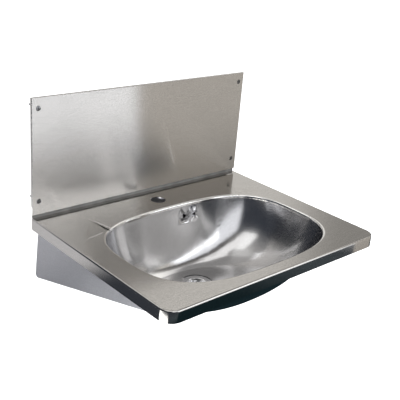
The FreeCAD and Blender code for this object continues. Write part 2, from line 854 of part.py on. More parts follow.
inner_half = f"({half_splash} - Sizes.splash_sheet)"
wide_half = f"({half_splash} + Sizes.splash_sheet)"
below = f"{splash_low} - Sizes.splash_sheet"
stop = f"{splash_low} + Sizes.splash_return_stop"
add_outline(
    splash_hollow,
    [
        (f"-{wide_half}", below),
        (wide_half, below),
        (wide_half, stop),
        (inner_half, stop),
        (inner_half, f"{splash_high} - Sizes.splash_sheet"),
        (f"-{inner_half}", f"{splash_high} - Sizes.splash_sheet"),
        (f"-{inner_half}", stop),
        (f"-{wide_half}", stop),
    ],
)
pocket(splash, splash_hollow, "SplashHollowCut", "2 * Sizes.splash_return")


def screw_places(y):
    """Places of the four splashback screws, pointing at the wall."""
    places = []
    for side in ("-", ""):
        for height in ("Sizes.splash_screw_low", "Sizes.splash_screw_high"):
            x = f"{side}({half_splash} - Sizes.splash_screw_edge)"
            places.append((x, y, f"{splash_low} + {height}", TO_WALL))
    return places


dimple_metals = []
dimple_spaces = []
for k, (x, y, z, rotation) in enumerate(screw_places("-Sizes.splash_front"), 1):
    metal = doc.addObject("Part::Cone", f"DimpleMetal{k}")
    bind(
        metal,
        Radius1="Sizes.dimple_radius + Sizes.splash_sheet",
        Radius2="Sizes.dimple_hole + Sizes.splash_sheet",
        Height="Sizes.dimple_fall + Sizes.splash_sheet",
    )
    space = doc.addObject("Part::Cone", f"DimpleSpace{k}")
    bind(
        space,
        Radius1="Sizes.dimple_radius",
        Radius2="Sizes.dimple_hole",
        Height="Sizes.dimple_fall",
    )
    hole = doc.addObject("Part::Cylinder", f"DimpleHole{k}")
    bind(hole, Radius="Sizes.dimple_hole", Height="2 * Sizes.dimple_fall")
    for thing in (metal, space, hole):
        set_down(thing, x, y, z, rotation)
    dimple_metals.append(metal)
    dimple_spaces += [space, hole]
splash_pressed = doc.addObject("Part::MultiFuse", "SplashPressed")
splash_pressed.Shapes = [splash] + dimple_metals
dimple_cutter = doc.addObject("Part::MultiFuse", "DimpleCutter")
dimple_cutter.Shapes = dimple_spaces
splash_cut = doc.addObject("Part::Cut", "SplashCut")
splash_cut.Base = splash_pressed
splash_cut.Tool = dimple_cutter
node(splash_cut, "splashback")

# Countersunk wood screws with a cross recess, sitting in the dimples. Their plain necks
# run through the spacer sleeves, and the thread starts at the wall.
head_seat = (
    "(Sizes.dimple_fall * (Sizes.dimple_radius - Sizes.splash_screw_head)"
    " / (Sizes.dimple_radius - Sizes.dimple_hole) - 1.4 * Sizes.splash_screw_gap)"
)
head_cone = (
    "(Sizes.dimple_fall * (Sizes.splash_screw_head - Sizes.splash_screw_neck)"
    " / (Sizes.dimple_radius - Sizes.dimple_hole))"
)
splash_screw = turned(
    "SplashScrew",
    [
        ("0", "Sizes.splash_screw_gap"),
        ("Sizes.splash_screw_shank", "Sizes.splash_screw_gap"),
        ("Sizes.splash_screw_head", head_seat),
        ("Sizes.splash_screw_neck", f"{head_seat} + {head_cone}"),
        ("Sizes.splash_screw_neck", "Sizes.splash_front"),
        ("Sizes.splash_screw_shank", "Sizes.splash_front"),
        ("Sizes.splash_screw_shank", "Sizes.splash_screw_length - 3 * Sizes.splash_screw_shank"),
        ("0.2 * Sizes.splash_screw_shank", "Sizes.splash_screw_length"),
        ("0", "Sizes.splash_screw_length"),
    ],
)


def cross_recess(body, name, half_length, half_width, base, depth, reverse):
    """Cuts a cross for the driver into a screw's head."""
    sketch = sketch_in(body, f"{name}Cross", "XY_Plane")
    bind(sketch, AttachmentOffset__Base__z=base)
    far, near = half_length, half_width
    add_outline(
        sketch,
        [
            (far, f"-{near}"), (far, near), (near, near), (near, far),
            (f"-{near}", far), (f"-{near}", near), (f"-{far}", near), (f"-{far}", f"-{near}"),
            (f"-{near}", f"-{near}"), (f"-{near}", f"-{far}"), (near, f"-{far}"),
            (near, f"-{near}"),
        ],
    )
    pocket(body, sketch, f"{name}CrossCut", depth, reverse=reverse)


cross_recess(
    splash_screw, "SplashScrew", "(0.55 * Sizes.splash_screw_head)",
    "(0.12 * Sizes.splash_screw_head)", "0", "0.9 * Sizes.splash_screw_shank", reverse=True,
)
copies("splashback_screws", splash_screw, screw_places("-Sizes.splash_front"))

# Sleeves that hold the sheet off the wall round each screw.
splash_back = "(Sizes.splash_front - Sizes.splash_sheet)"
sleeve = turned("Sleeve", ring_section("Sizes.sleeve_bore", "Sizes.sleeve_radius", "0", splash_back))
copies("splashback_spacers", sleeve, screw_places(f"-{splash_back}"))

# Foam strip between the upstand and the back of the splashback.
seal_half = "(Sizes.deck_width / 2 - Sizes.upstand_inset - Sizes.seal_end_gap)"
strip = doc.addObject("Part::Box", "SealingStrip")
bind(
    strip,
    Length=f"2 * {seal_half}",
    Width=f"{splash_back} - Sizes.deck_sheet",
    Height="Sizes.seal_high - Sizes.seal_low",
)
set_down(strip, f"-{seal_half}", f"-{splash_back}", "Sizes.deck_rise + Sizes.seal_low")
node(strip, "sealing_strip")

# --------------------------------------------------------------------------------------
# Waste. A dished strainer flange sits on a gasket in the bowl's recess, and one screw
# draws the plastic body with its threaded tail up against the underside.

recess_level = "(Sizes.deck_rise - Sizes.bowl_fall - Sizes.recess_fall)"
underside_level = f"({recess_level} - Sizes.bowl_sheet)"
drain_y = "-Sizes.drain_back"


def at_drain(thing, label, level):
    set_down(thing, "0", drain_y, level)
    return node(thing, label)


gasket_bore = "(Sizes.drain_hole + Sizes.slip)"
upper_gasket = turned(
    "UpperGasket",
    ring_section(gasket_bore, "Sizes.waste_flange - 1", "0", "Sizes.waste_gasket_thick"),
)
at_drain(upper_gasket, "waste_upper_gasket", recess_level)

flange_foot = "Sizes.waste_gasket_thick"
flange_top = "(Sizes.waste_gasket_thick + Sizes.waste_flange_thick)"
dish_foot = f"({flange_top} - Sizes.strainer_fall)"
dish_floor = f"({dish_foot} + Sizes.strainer_sheet)"
dish_inner = "(Sizes.strainer_radius - Sizes.strainer_sheet)"
half_flange = "(Sizes.waste_flange_thick / 2)"
flange = turned(
    "WasteFlange",
    [
        ("0", dish_foot),
        ("Sizes.strainer_radius", dish_foot),
        ("Sizes.strainer_radius", flange_foot),
        ("Sizes.waste_flange", flange_foot),
        ("Sizes.waste_flange", f"{flange_top} - {half_flange}"),
        (f"Sizes.waste_flange - {half_flange}", flange_top),
        (f"Sizes.strainer_radius + {half_flange}", flange_top),
        (dish_inner, f"{flange_top} - {half_flange}"),
        (dish_inner, dish_floor),
        ("0", dish_floor),
    ],
)
flange_bore = sketch_in(flange, "WasteFlangeBore", "XY_Plane")
add_circle(flange_bore, "0", "0", "Sizes.waste_screw_shank + Sizes.slip")
pocket(flange, flange_bore, "WasteFlangeBoreCut", "4 * Sizes.strainer_fall", midplane=True)
strainer_hole = sketch_in(flange, "StrainerHole", "XY_Plane")
add_circle(strainer_hole, "Sizes.strainer_hole_circle", "0", "Sizes.strainer_hole")
strainer_cut = pocket(
    flange, strainer_hole, "StrainerHoleCut", "4 * Sizes.strainer_fall", midplane=True
)
strainer_ring = flange.newObject("PartDesign::PolarPattern", "StrainerHoles")
strainer_ring.Originals = [strainer_cut]
strainer_ring.Axis = (strainer_hole, ["N_Axis"])
strainer_ring.Angle = 360
bind(strainer_ring, Occurrences="Sizes.strainer_hole_count")
flange.Tip = strainer_ring
at_drain(flange, "waste_flange", recess_level)

waste_screw = turned(
    "WasteScrew",
    [
        ("0", "-Sizes.waste_screw_length"),
        ("Sizes.waste_screw_shank", "-Sizes.waste_screw_length"),
        ("Sizes.waste_screw_shank", "0"),
        ("Sizes.waste_screw_head", "0"),
        ("Sizes.waste_screw_head", "Sizes.waste_screw_head_rise / 3"),
        ("0.55 * Sizes.waste_screw_head", "Sizes.waste_screw_head_rise"),
        ("0", "Sizes.waste_screw_head_rise"),
    ],
)
cross_recess(
    waste_screw, "WasteScrew", "(0.5 * Sizes.waste_screw_head)",
    "(0.1 * Sizes.waste_screw_head)", "Sizes.waste_screw_head_rise",
    "0.7 * Sizes.waste_screw_head_rise", reverse=False,
)
at_drain(waste_screw, "waste_screw", f"{recess_level} + {dish_floor}")

lower_gasket = turned(
    "LowerGasket",
    ring_section(gasket_bore, "Sizes.body_flange", "-Sizes.lower_gasket_thick", "0"),
)
at_drain(lower_gasket, "waste_lower_gasket", underside_level)

# The overflow pipe stands behind the bowl, and its foot turns towards the drain.
cup_back = wall_place(size("overflow_side"), size("overflow_fall"), size("bowl_sheet")).y
cup_back += size("overflow_gasket_thick")
pipe_back = cup_back + size("overflow_cup_deep") / 2
pipe_span = Vector(size("overflow_side"), pipe_back + size("drain_back"), 0)
TO_PIPE = Rotation(Vector(1, 0, 0), pipe_span)
ALONG_PIPE = TO_PIPE * Rotation(Vector(0, 1, 0), 90)


def off_drain(distance):
    """Place on the line from the drain's axis to the overflow pipe."""
    place = TO_PIPE.multVec(Vector(distance, 0, 0))
    return place.x, place.y


body_bore = "(Sizes.body_radius - Sizes.body_wall)"
tail_bore = "(Sizes.tail_radius - Sizes.body_wall)"
tail_start = "-(Sizes.body_length - Sizes.tail_length)"
neck = "(Sizes.body_radius - Sizes.tail_radius)"
body_shell = turned(
    "WasteShell",
    [
        (body_bore, "0"),
        ("Sizes.body_flange", "0"),
        ("Sizes.body_flange", "-Sizes.body_flange_thick"),
        ("Sizes.body_radius", "-Sizes.body_flange_thick"),
        ("Sizes.body_radius", f"{tail_start} + {neck}"),
        ("Sizes.tail_radius", tail_start),
        ("Sizes.tail_radius", "-Sizes.body_length"),
        (tail_bore, "-Sizes.body_length"),
        (tail_bore, f"{tail_start} + Sizes.body_wall / 2"),
        (body_bore, f"{tail_start} + {neck} + Sizes.body_wall / 2"),
    ],
)
boss = doc.addObject("Part::Cylinder", "WasteBoss")
bind(boss, Radius="Sizes.body_boss", Height="Sizes.body_boss_low - Sizes.body_boss_high")
set_down(boss, "0", "0", "-Sizes.body_boss_low")
ribs = []
rib_high = "Sizes.body_boss_low - Sizes.body_boss_high - Sizes.body_rib"
for k, turn in enumerate((30, 150, 270), 1):
    rib = doc.addObject("Part::Box", f"WasteRib{k}")
    bind(
        rib, Length=f"{body_bore} + Sizes.body_wall / 2", Width="Sizes.body_rib",
        Height=rib_high,
    )
    rotation = Rotation(Vector(0, 0, 1), turn)
    corner = rotation.multVec(Vector(0, -size("body_rib") / 2, 0))
    set_down(rib, f"{corner.x:.4f}", f"{corner.y:.4f}", "-Sizes.body_boss_low", rotation)
    ribs.append(rib)

spigot_level = "-Sizes.body_spigot_fall"
stub = doc.addObject("Part::Cylinder", "WasteStub")
bind(stub, Radius="Sizes.spigot_radius", Height="Sizes.body_spigot_reach")
set_down(stub, "0", "0", spigot_level, ALONG_PIPE)
core = doc.addObject("Part::Cylinder", "WasteCore")
bind(core, Radius=body_bore, Height="Sizes.body_length - Sizes.tail_length")
set_down(core, "0", "0", tail_start)
spigot = doc.addObject("Part::Cut", "WasteSpigot")
spigot.Base = stub
spigot.Tool = core
waste_solid = doc.addObject("Part::MultiFuse", "WasteSolid")
waste_solid.Shapes = [body_shell, boss, *ribs, spigot]
boss_bore = doc.addObject("Part::Cylinder", "WasteBossBore")
bind(boss_bore, Radius="Sizes.waste_screw_shank + Sizes.thread_slip", Height="Sizes.body_length")
set_down(boss_bore, "0", "0", "-Sizes.body_length")
spigot_bore = doc.addObject("Part::Cylinder", "WasteSpigotBore")
bind(spigot_bore, Radius="Sizes.pipe_radius + Sizes.slip", Height="Sizes.body_spigot_reach")
bore_start = (size("body_boss") + result(body_bore)) / 2
start_x, start_y = off_drain(bore_start)
set_down(spigot_bore, f"{start_x:.4f}", f"{start_y:.4f}", spigot_level, ALONG_PIPE)
waste_bores = doc.addObject("Part::MultiFuse", "WasteBores")
waste_bores.Shapes = [boss_bore, spigot_bore]
waste_body = doc.addObject("Part::Cut", "WasteBody")
waste_body.Base = waste_solid
waste_body.Tool = waste_bores
body_level = f"({underside_level} - Sizes.lower_gasket_thick)"
at_drain(waste_body, "waste_body", body_level)

# --------------------------------------------------------------------------------------
# Overflow. A gasket shaped to the bowl's wall, a housing behind the two openings, the
# screw between them, and a pipe with a nut and a seal ring at each end.

cup_half = "Sizes.overflow_cup_wide / 2"
cup_rise = "Sizes.overflow_cup_tall / 2"
cup_level = "(Sizes.deck_rise - Sizes.overflow_fall)"


def overflow_gasket_shape():
    half, rise = result(cup_half), result(cup_rise)
    land = size("overflow_gasket_land")
    side, level = size("overflow_side"), result(cup_level)
    thick = 4 * size("overflow_gasket_thick")
    block = Part.makeBox(
        2 * half, thick, 2 * rise, Vector(side - half, cup_back - thick, level - rise)
    )
    window = Part.makeBox(
        2 * (half - land), 3 * thick, 2 * (rise - land),
        Vector(side - half + land, cup_back - 2 * thick, level - rise + land),
    )
    bowl_skin = Part.makeLoft(
        bowl_levels(size("bowl_sheet") + size("overflow_gasket_gap")), True, False
    )
    return block.cut([window, bowl_skin])


shaped("overflow_gasket", overflow_gasket_shape())

cup = new_body("CupBody")
cup_face = sketch_in(cup, "CupFace", "XZ_Plane")
add_box(cup_face, f"-{cup_half}", cup_half, f"-{cup_rise}", cup_rise)
pad(cup, cup_face, "CupPad", "Sizes.overflow_cup_deep", reverse=True)
round_over(
    cup, "CupCorners", "Sizes.overflow_cup_wall",
    lambda edge: abs(edge.tangentAt(edge.FirstParameter).y) > 0.99,
)
cup_spigot = sketch_in(cup, "CupSpigot", "XY_Plane")
add_circle(cup_spigot, "0", "Sizes.overflow_cup_deep / 2", "Sizes.spigot_radius")
pad(cup, cup_spigot, "CupSpigotPad", f"{cup_rise} + Sizes.spigot_length", reverse=True)
cup_hollow = sketch_in(cup, "CupHollow", "XZ_Plane")
hollow_half = f"({cup_half} - Sizes.overflow_cup_wall)"
hollow_rise = f"({cup_rise} - Sizes.overflow_cup_wall)"
add_box(cup_hollow, f"-{hollow_half}", hollow_half, f"-{hollow_rise}", hollow_rise)
cup_inside = "Sizes.overflow_cup_deep - Sizes.overflow_cup_wall"
pocket(cup, cup_hollow, "CupHollowCut", cup_inside)
cup_boss = sketch_in(cup, "CupBoss", "XZ_Plane")
add_circle(cup_boss, "0", "0", "Sizes.overflow_boss")
pad(cup, cup_boss, "CupBossPad", "Sizes.overflow_cup_deep", reverse=True)
cup_thread = sketch_in(cup, "CupThread", "XZ_Plane")
add_circle(cup_thread, "0", "0", "Sizes.overflow_screw_shank + Sizes.thread_slip")
pocket(cup, cup_thread, "CupThreadCut", cup_inside)
cup_bore = sketch_in(cup, "CupBore", "XY_Plane")
bind(cup_bore, AttachmentOffset__Base__z="-Sizes.overflow_boss - Sizes.overflow_cup_wall / 2")
add_circle(cup_bore, "0", "Sizes.overflow_cup_deep / 2", "Sizes.pipe_radius + Sizes.slip")
pocket(cup, cup_bore, "CupBoreCut", f"{cup_rise} + Sizes.spigot_length")
set_down(cup, "Sizes.overflow_side", f"{cup_back:.4f}", cup_level)
node(cup, "overflow_housing")

overflow_screw = turned(
    "OverflowScrew",
    [
        ("0", "-Sizes.overflow_screw_head_rise"),
        ("0.6 * Sizes.overflow_screw_head", "-Sizes.overflow_screw_head_rise"),
        ("Sizes.overflow_screw_head", "-Sizes.overflow_screw_head_rise / 2"),
        ("Sizes.overflow_screw_head", "0"),
        ("Sizes.overflow_screw_shank", "0"),
        ("Sizes.overflow_screw_shank", "Sizes.overflow_screw_length"),
        ("0", "Sizes.overflow_screw_length"),
    ],
)
cross_recess(
    overflow_screw, "OverflowScrew", "(0.5 * Sizes.overflow_screw_head)",
    "(0.12 * Sizes.overflow_screw_head)", "-Sizes.overflow_screw_head_rise",
    "0.7 * Sizes.overflow_screw_head_rise", reverse=True,
)
# the flat underside of the head rests on the leaning wall where that comes out furthest
wall_front = min(
    wall_place(
        size("overflow_side") + across * size("overflow_screw_head"),
        size("overflow_fall") + down * size("overflow_screw_head"),
    ).y
    for across, down in ((-1, 0), (1, 0), (0, -1), (0, 1), (0.7, 0.7))
)
screw_rest = wall_front - size("overflow_gasket_gap")
set_down(overflow_screw, "Sizes.overflow_side", f"{screw_rest:.4f}", cup_level, TO_WALL)
node(overflow_screw, "overflow_screw")

cup_mouth = f"({cup_level} - {cup_rise} - Sizes.spigot_length)"
pipe_level = f"({body_level} - Sizes.body_spigot_fall)"
pipe = new_body("PipeBody")
pipe_path = sketch_in(pipe, "PipePath", "XZ_Plane")
pipe_top_level = f"{cup_mouth} + Sizes.spigot_overlap"
pipe_top = result(pipe_top_level)
pipe_foot = result(pipe_level)
bend = size("pipe_bend")
run = pipe_span.Length - size("body_spigot_reach") + size("spigot_overlap")
straight = Part.LineSegment(Vector(0, pipe_top, 0), Vector(0, pipe_foot + bend, 0))
knee_circle = Part.Circle(Vector(bend, pipe_foot + bend, 0), Vector(0, 0, 1), bend)
knee = Part.ArcOfCircle(knee_circle, math.pi, 1.5 * math.pi)
level_run = Part.LineSegment(Vector(bend, pipe_foot, 0), Vector(run, pipe_foot, 0))
for curve in (straight, knee, level_run):
    pipe_path.addGeometry(curve, False)
pipe_path.addConstraint(Sketcher.Constraint("Coincident", 0, 2, 1, 1))
pipe_path.addConstraint(Sketcher.Constraint("Coincident", 1, 2, 2, 1))


def place_path(direction, curve, point, formula):
    """Places one point of the path across or up from the sketch's origin."""
    place = Sketcher.Constraint(direction, -1, 1, curve, point, result(formula))
    tie(pipe_path, place, formula)


knee_level = f"{pipe_level} + Sizes.pipe_bend"
place_path("DistanceX", 0, 1, "0")
place_path("DistanceY", 0, 1, pipe_top_level)
place_path("DistanceX", 0, 2, "0")
place_path("DistanceY", 0, 2, knee_level)
place_path("DistanceX", 1, 3, "Sizes.pipe_bend")
place_path("DistanceY", 1, 3, knee_level)
place_path("DistanceX", 2, 1, "Sizes.pipe_bend")
place_path("DistanceX", 2, 2, f"{run:.4f}")
place_path("DistanceY", 2, 2, pipe_level)
pipe_ring = sketch_in(pipe, "PipeRing", "XY_Plane")
bind(pipe_ring, AttachmentOffset__Base__z=pipe_top_level)
add_circle(pipe_ring, "0", "0", "Sizes.pipe_radius")
add_circle(pipe_ring, "0", "0", "Sizes.pipe_radius - Sizes.pipe_wall")
doc.recompute()
pipe_sweep = pipe.newObject("PartDesign::AdditivePipe", "PipeSweep")
pipe_sweep.Profile = pipe_ring
pipe_sweep.Spine = (pipe_path, ["Edge1", "Edge2", "Edge3"])
pipe_way = Rotation(Vector(-1, 0, 0), pipe_span)
set_down(pipe, "Sizes.overflow_side", f"{pipe_back:.4f}", "0", pipe_way)
node(pipe, "overflow_pipe")

# One compression nut and one seal ring at the housing, the same at the waste body. The
# spigot's end is at height 0 of each piece, and the pipe leaves downwards.
pipe_hole = "Sizes.pipe_radius + Sizes.slip"
nut_low = "-(Sizes.pipe_seal_thick + Sizes.pipe_nut_lip)"
nut_tall = f"Sizes.pipe_nut_grip - ({nut_low})"
nut_body = hexagon("PipeNutBody", "Sizes.pipe_nut_flats", nut_tall, pipe_hole, nut_low)
nut_room = doc.addObject("Part::Cylinder", "PipeNutRoom")
bind(
    nut_room, Radius="Sizes.spigot_radius + Sizes.thread_slip",
    Height="2 * Sizes.pipe_nut_grip + Sizes.pipe_seal_thick",
)
set_down(nut_room, "0", "0", "-Sizes.pipe_seal_thick")
pipe_nut = doc.addObject("Part::Cut", "PipeNut")
pipe_nut.Base = nut_body
pipe_nut.Tool = nut_room
end_x, end_y = off_drain(size("body_spigot_reach"))
pipe_ends = [
    ("Sizes.overflow_side", f"{pipe_back:.4f}", cup_mouth, UP),
    (f"{end_x:.4f}", f"{end_y:.4f} - Sizes.drain_back", pipe_level, ALONG_PIPE * FLIP),
]
copies("overflow_nuts", pipe_nut, pipe_ends)
pipe_seal = turned(
    "PipeSeal", ring_section(pipe_hole, "Sizes.spigot_radius", "-Sizes.pipe_seal_thick", "0")
)
copies("overflow_seals", pipe_seal, pipe_ends)

# --------------------------------------------------------------------------------------
# Bonding lug. A tab welded to the front edge of the rail's top flange, with the screw
# and nut that clamp the building's earth wire.

lug = new_body("LugBody")
lug_face = sketch_in(lug, "LugFace", "XZ_Plane")
lug_half = "Sizes.lug_width / 2"
add_box(lug_face, f"-{lug_half}", lug_half, "-Sizes.lug_drop", "0")
lug_hole_level = "-(Sizes.lug_drop - Sizes.lug_width / 2)"
add_circle(lug_face, "0", lug_hole_level, "Sizes.lug_screw_radius + Sizes.slip")
pad(lug, lug_face, "LugPad", "Sizes.lug_thick")
set_down(lug, "Sizes.lug_side", "-Sizes.rail_top_reach", rail_top)
node(lug, "bonding_lug")

lug_front = "-Sizes.rail_top_reach - Sizes.lug_thick"
lug_axis = f"{rail_top} + {lug_hole_level}"
lug_head = "0.58 * Sizes.nut_flats"
lug_screw = turned(
    "LugScrew",
    [
        ("0", "-Sizes.lug_head_thick"),
        (lug_head, "-Sizes.lug_head_thick"),
        (lug_head, "0"),
        ("Sizes.lug_screw_radius", "0"),
        ("Sizes.lug_screw_radius", "Sizes.lug_screw_length"),
        ("0", "Sizes.lug_screw_length"),
    ],
)
set_down(lug_screw, "Sizes.lug_side", lug_front, lug_axis, TO_WALL)
node(lug_screw, "bonding_screw")
lug_nut = hexagon(
    "LugNut", "Sizes.nut_flats", "Sizes.nut_thick", "Sizes.lug_screw_radius + Sizes.thread_slip"
)
set_down(lug_nut, "Sizes.lug_side", "-Sizes.rail_top_reach", lug_axis, TO_WALL)
node(lug_nut, "bonding_nut")

# --------------------------------------------------------------------------------------
# Every sub-part is checked before any file is written.

doc.recompute()
for thing in doc.Objects:
    if "Invalid" in thing.State or "Error" in thing.State:
        raise RuntimeError(f"{thing.Label} did not compute: {thing.getStatusString()}")
for thing in nodes:
    if thing.Shape.isNull() or not thing.Shape.isValid() or not thing.Shape.Solids:
        raise RuntimeError(f"{thing.Label} has no sound solid")
os.makedirs("parts", exist_ok=True)
for thing in nodes:
    thing.Shape.exportStep(f"parts/{thing.Label}.step")
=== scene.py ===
import math

import bmesh
import bpy
from mathutils import Matrix, Vector


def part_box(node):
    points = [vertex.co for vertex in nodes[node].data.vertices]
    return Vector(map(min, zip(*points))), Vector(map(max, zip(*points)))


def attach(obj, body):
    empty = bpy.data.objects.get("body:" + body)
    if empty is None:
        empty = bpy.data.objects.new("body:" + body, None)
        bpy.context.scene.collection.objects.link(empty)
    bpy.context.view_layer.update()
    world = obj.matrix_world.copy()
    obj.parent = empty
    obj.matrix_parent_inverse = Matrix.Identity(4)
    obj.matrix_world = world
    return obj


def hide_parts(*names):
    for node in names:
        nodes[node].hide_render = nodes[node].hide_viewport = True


# Wall-hung wash basin of stainless sheet with its splashback, in metres: X along the
# wall, Y into the wall, Z up. The studio comes first. Each section after it finishes
# one piece, or one group of like pieces, in the order in which they are put together.

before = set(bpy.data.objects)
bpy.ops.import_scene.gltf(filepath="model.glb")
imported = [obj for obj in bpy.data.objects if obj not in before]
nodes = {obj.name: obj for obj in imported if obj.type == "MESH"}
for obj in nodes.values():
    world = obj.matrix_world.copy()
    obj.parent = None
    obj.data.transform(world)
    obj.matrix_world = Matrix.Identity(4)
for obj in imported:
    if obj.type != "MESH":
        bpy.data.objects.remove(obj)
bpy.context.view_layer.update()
scene = bpy.context.scene

# ---------------------------------------------------------------------------------------
# Photographer's corner. The camera stands at the height and turn of the photograph, and
# a plain pale floor lies well below the wall-hung basin.

scene.view_settings.view_transform = "Standard"

camera_data = bpy.data.cameras.new("camera")
camera_data.sensor_width = 36.0
camera_data.lens = 65.02
camera = bpy.data.objects.new("camera", camera_data)
scene.collection.objects.link(camera)
eye = Vector((-1.0052, -1.2659, 0.7388))
look = Vector((0.6359, 0.6710, -0.3812)).normalized()
upward = Vector((0.1987, 0.3349, 0.9211))
sideways = look.cross(upward).normalized()
upward = sideways.cross(look)
turn = Matrix((sideways, upward, -look)).transposed().to_4x4()
camera.matrix_world = Matrix.Translation(eye) @ turn
scene.camera = camera


def new_material(name):
    """Material with its Principled shader, ready for nodes."""
    material = bpy.data.materials.new(name)
    material.use_nodes = True
    tree = material.node_tree
    return material, tree, tree.nodes["Principled BSDF"]


def calculate(tree, operation, first, second=None, third=None):
    """Math node on numbers or sockets; returns its output."""
    step = tree.nodes.new("ShaderNodeMath")
    step.operation = operation
    for index, value in enumerate((first, second, third)):
        if isinstance(value, (int, float)):
            step.inputs[index].default_value = value
        elif value is not None:
            tree.links.new(value, step.inputs[index])
    return step.outputs[0]


def seen_directly_or_in_metal(tree):
    """1 for camera, glossy and transmission rays, so that metal shows the backdrop."""
    rays = tree.nodes.new("ShaderNodeLightPath").outputs
    seen = calculate(tree, "ADD", rays["Is Camera Ray"], rays["Is Glossy Ray"])
    seen = calculate(tree, "ADD", seen, rays["Is Transmission Ray"])
    return calculate(tree, "MINIMUM", seen, 1.0)


floor_level = -0.75
floor_reach = 30.0
bpy.ops.object.select_all(action="DESELECT")
bpy.ops.mesh.primitive_plane_add(size=2 * floor_reach, location=(0, 0, floor_level))
floor = bpy.context.object
floor.name = "floor"
floor_paint, tree, shader = new_material("floor_paint")
shader.inputs["Base Color"].default_value = (0.85, 0.85, 0.85, 1)
shader.inputs["Roughness"].default_value = 0.9
shader.inputs["Emission Color"].default_value = (1, 1, 1, 1)
tree.links.new(seen_directly_or_in_metal(tree), shader.inputs["Emission Strength"])
floor.data.materials.append(floor_paint)

studio = bpy.data.worlds.new("studio")
scene.world = studio
studio.use_nodes = True
tree = studio.node_tree
sky = tree.nodes["Background"]
plain_level = 0.5  # strength for every ray that neither the camera nor metal sends out
strength = calculate(
    tree, "MULTIPLY_ADD", seen_directly_or_in_metal(tree), 1 - plain_level, plain_level
)
tree.links.new(strength, sky.inputs["Strength"])
sky.inputs["Color"].default_value = (1, 1, 1, 1)

# ---------------------------------------------------------------------------------------
# Studio tent. Dark and pale cloths stand all round the basin, out of the picture, and
# only metal shows them: lit boards in front, an opening overhead, dim cloths elsewhere.


def object_place(tree):
    """Place on the object itself, in metres."""
    return tree.nodes.new("ShaderNodeTexCoord").outputs["Object"]


def vector_math(tree, operation, first, second=None):
    """Vector node on tuples or sockets; returns the node."""
    step = tree.nodes.new("ShaderNodeVectorMath")
    step.operation = operation
    for index, value in enumerate((first, second)):
        if isinstance(value, tuple):
            step.inputs[index].default_value = value
        elif value is not None:
            tree.links.new(value, step.inputs[index])
    return step


def place_parts(tree, place):
    """X, Y and Z of a place, by name."""
    parts = tree.nodes.new("ShaderNodeSeparateXYZ")
    tree.links.new(place, parts.inputs[0])
    return parts.outputs


def map_range(tree, value, low, high, to_low=0.0, to_high=1.0, smooth=True):
    """Takes low to high onto to_low to to_high, and stays there outside."""
    step = tree.nodes.new("ShaderNodeMapRange")
    step.interpolation_type = "SMOOTHSTEP" if smooth else "LINEAR"
    tree.links.new(value, step.inputs["Value"])
    for socket, number in (
        ("From Min", low), ("From Max", high), ("To Min", to_low), ("To Max", to_high)
    ):
        step.inputs[socket].default_value = number
    return step.outputs["Result"]


def colour_mix(tree, mask, below, above):
    """Colour from below to above with the mask; each is a tuple or a socket."""
    mix = tree.nodes.new("ShaderNodeMix")
    mix.data_type = "RGBA"
    tree.links.new(mask, mix.inputs["Factor"])
    for socket, colour in (("A", below), ("B", above)):
        if isinstance(colour, tuple):
            mix.inputs[socket].default_value = (*colour, 1)
        else:
            tree.links.new(colour, mix.inputs[socket])
    return mix.outputs["Result"]


def new_cloth(name):
    """Material without any shader yet, and its tree."""
    cloth = bpy.data.materials.new(name)
    cloth.use_nodes = True
    cloth.node_tree.nodes.clear()
    return cloth, cloth.node_tree


def hang(piece, cloth, tone):
    """Hangs a cloth that gives off its own tone and that only metal shows."""
    tree = cloth.node_tree
    light = tree.nodes.new("ShaderNodeEmission")
    tree.links.new(tone, light.inputs["Color"])
    surface = tree.nodes.new("ShaderNodeOutputMaterial").inputs["Surface"]
    tree.links.new(light.outputs[0], surface)
    piece.data.materials.append(cloth)
    piece.visible_camera = False
    piece.visible_diffuse = False
    piece.visible_shadow = False
    piece.visible_transmission = False


basin_middle = (0, -0.2, 0.1)
tent_reach = 6.5
tent_low, tent_high = floor_level + 0.02, 6.0
bpy.ops.object.select_all(action="DESELECT")
bpy.ops.mesh.primitive_uv_sphere_add(
    segments=96, ring_count=64, radius=1.0,
    location=(0, basin_middle[1], (tent_low + tent_high) / 2),
    scale=(tent_reach, tent_reach, (tent_high - tent_low) / 2),
)
tent = bpy.context.object
tent.name = "studio_tent"
bpy.ops.object.transform_apply(location=True, rotation=True, scale=True)
bpy.ops.object.shade_smooth()
tent_cloth, tent_tree = new_cloth("tent_cloth")

# angles in degrees as seen from the basin: round from the front, to the right as
# positive, and up from level
degrees = 180 / math.pi
way = vector_math(tent_tree, "SUBTRACT", object_place(tent_tree), basin_middle)
way = vector_math(tent_tree, "NORMALIZE", way.outputs[0])
way = place_parts(tent_tree, way.outputs[0])
to_front = calculate(tent_tree, "MULTIPLY", way["Y"], -1)
around = calculate(tent_tree, "ARCTAN2", way["X"], to_front)
around = calculate(tent_tree, "MULTIPLY", around, degrees)
up = calculate(tent_tree, "ARCSINE", way["Z"])
up = calculate(tent_tree, "MULTIPLY", up, degrees)

# two cloths hang aslant: one leans aside as it goes up, one sinks as it goes round
lean, sink = 0.35, -0.15
leaning = calculate(tent_tree, "MULTIPLY_ADD", up, lean, around)
sinking = calculate(tent_tree, "MULTIPLY_ADD", around, sink, up)


def rise(value, low, high):
    """0 below low, 1 above high and smooth between."""
    return map_range(tent_tree, value, low, high)


def fall(value, low, high):
    """1 below low, 0 above high and smooth between."""
    return calculate(tent_tree, "SUBTRACT", 1, rise(value, low, high))


def band(value, starts, full, fades, ends):
    """1 between full and fades, 0 before starts and after ends."""
    return calculate(
        tent_tree, "MULTIPLY", rise(value, starts, full), fall(value, fades, ends)
    )


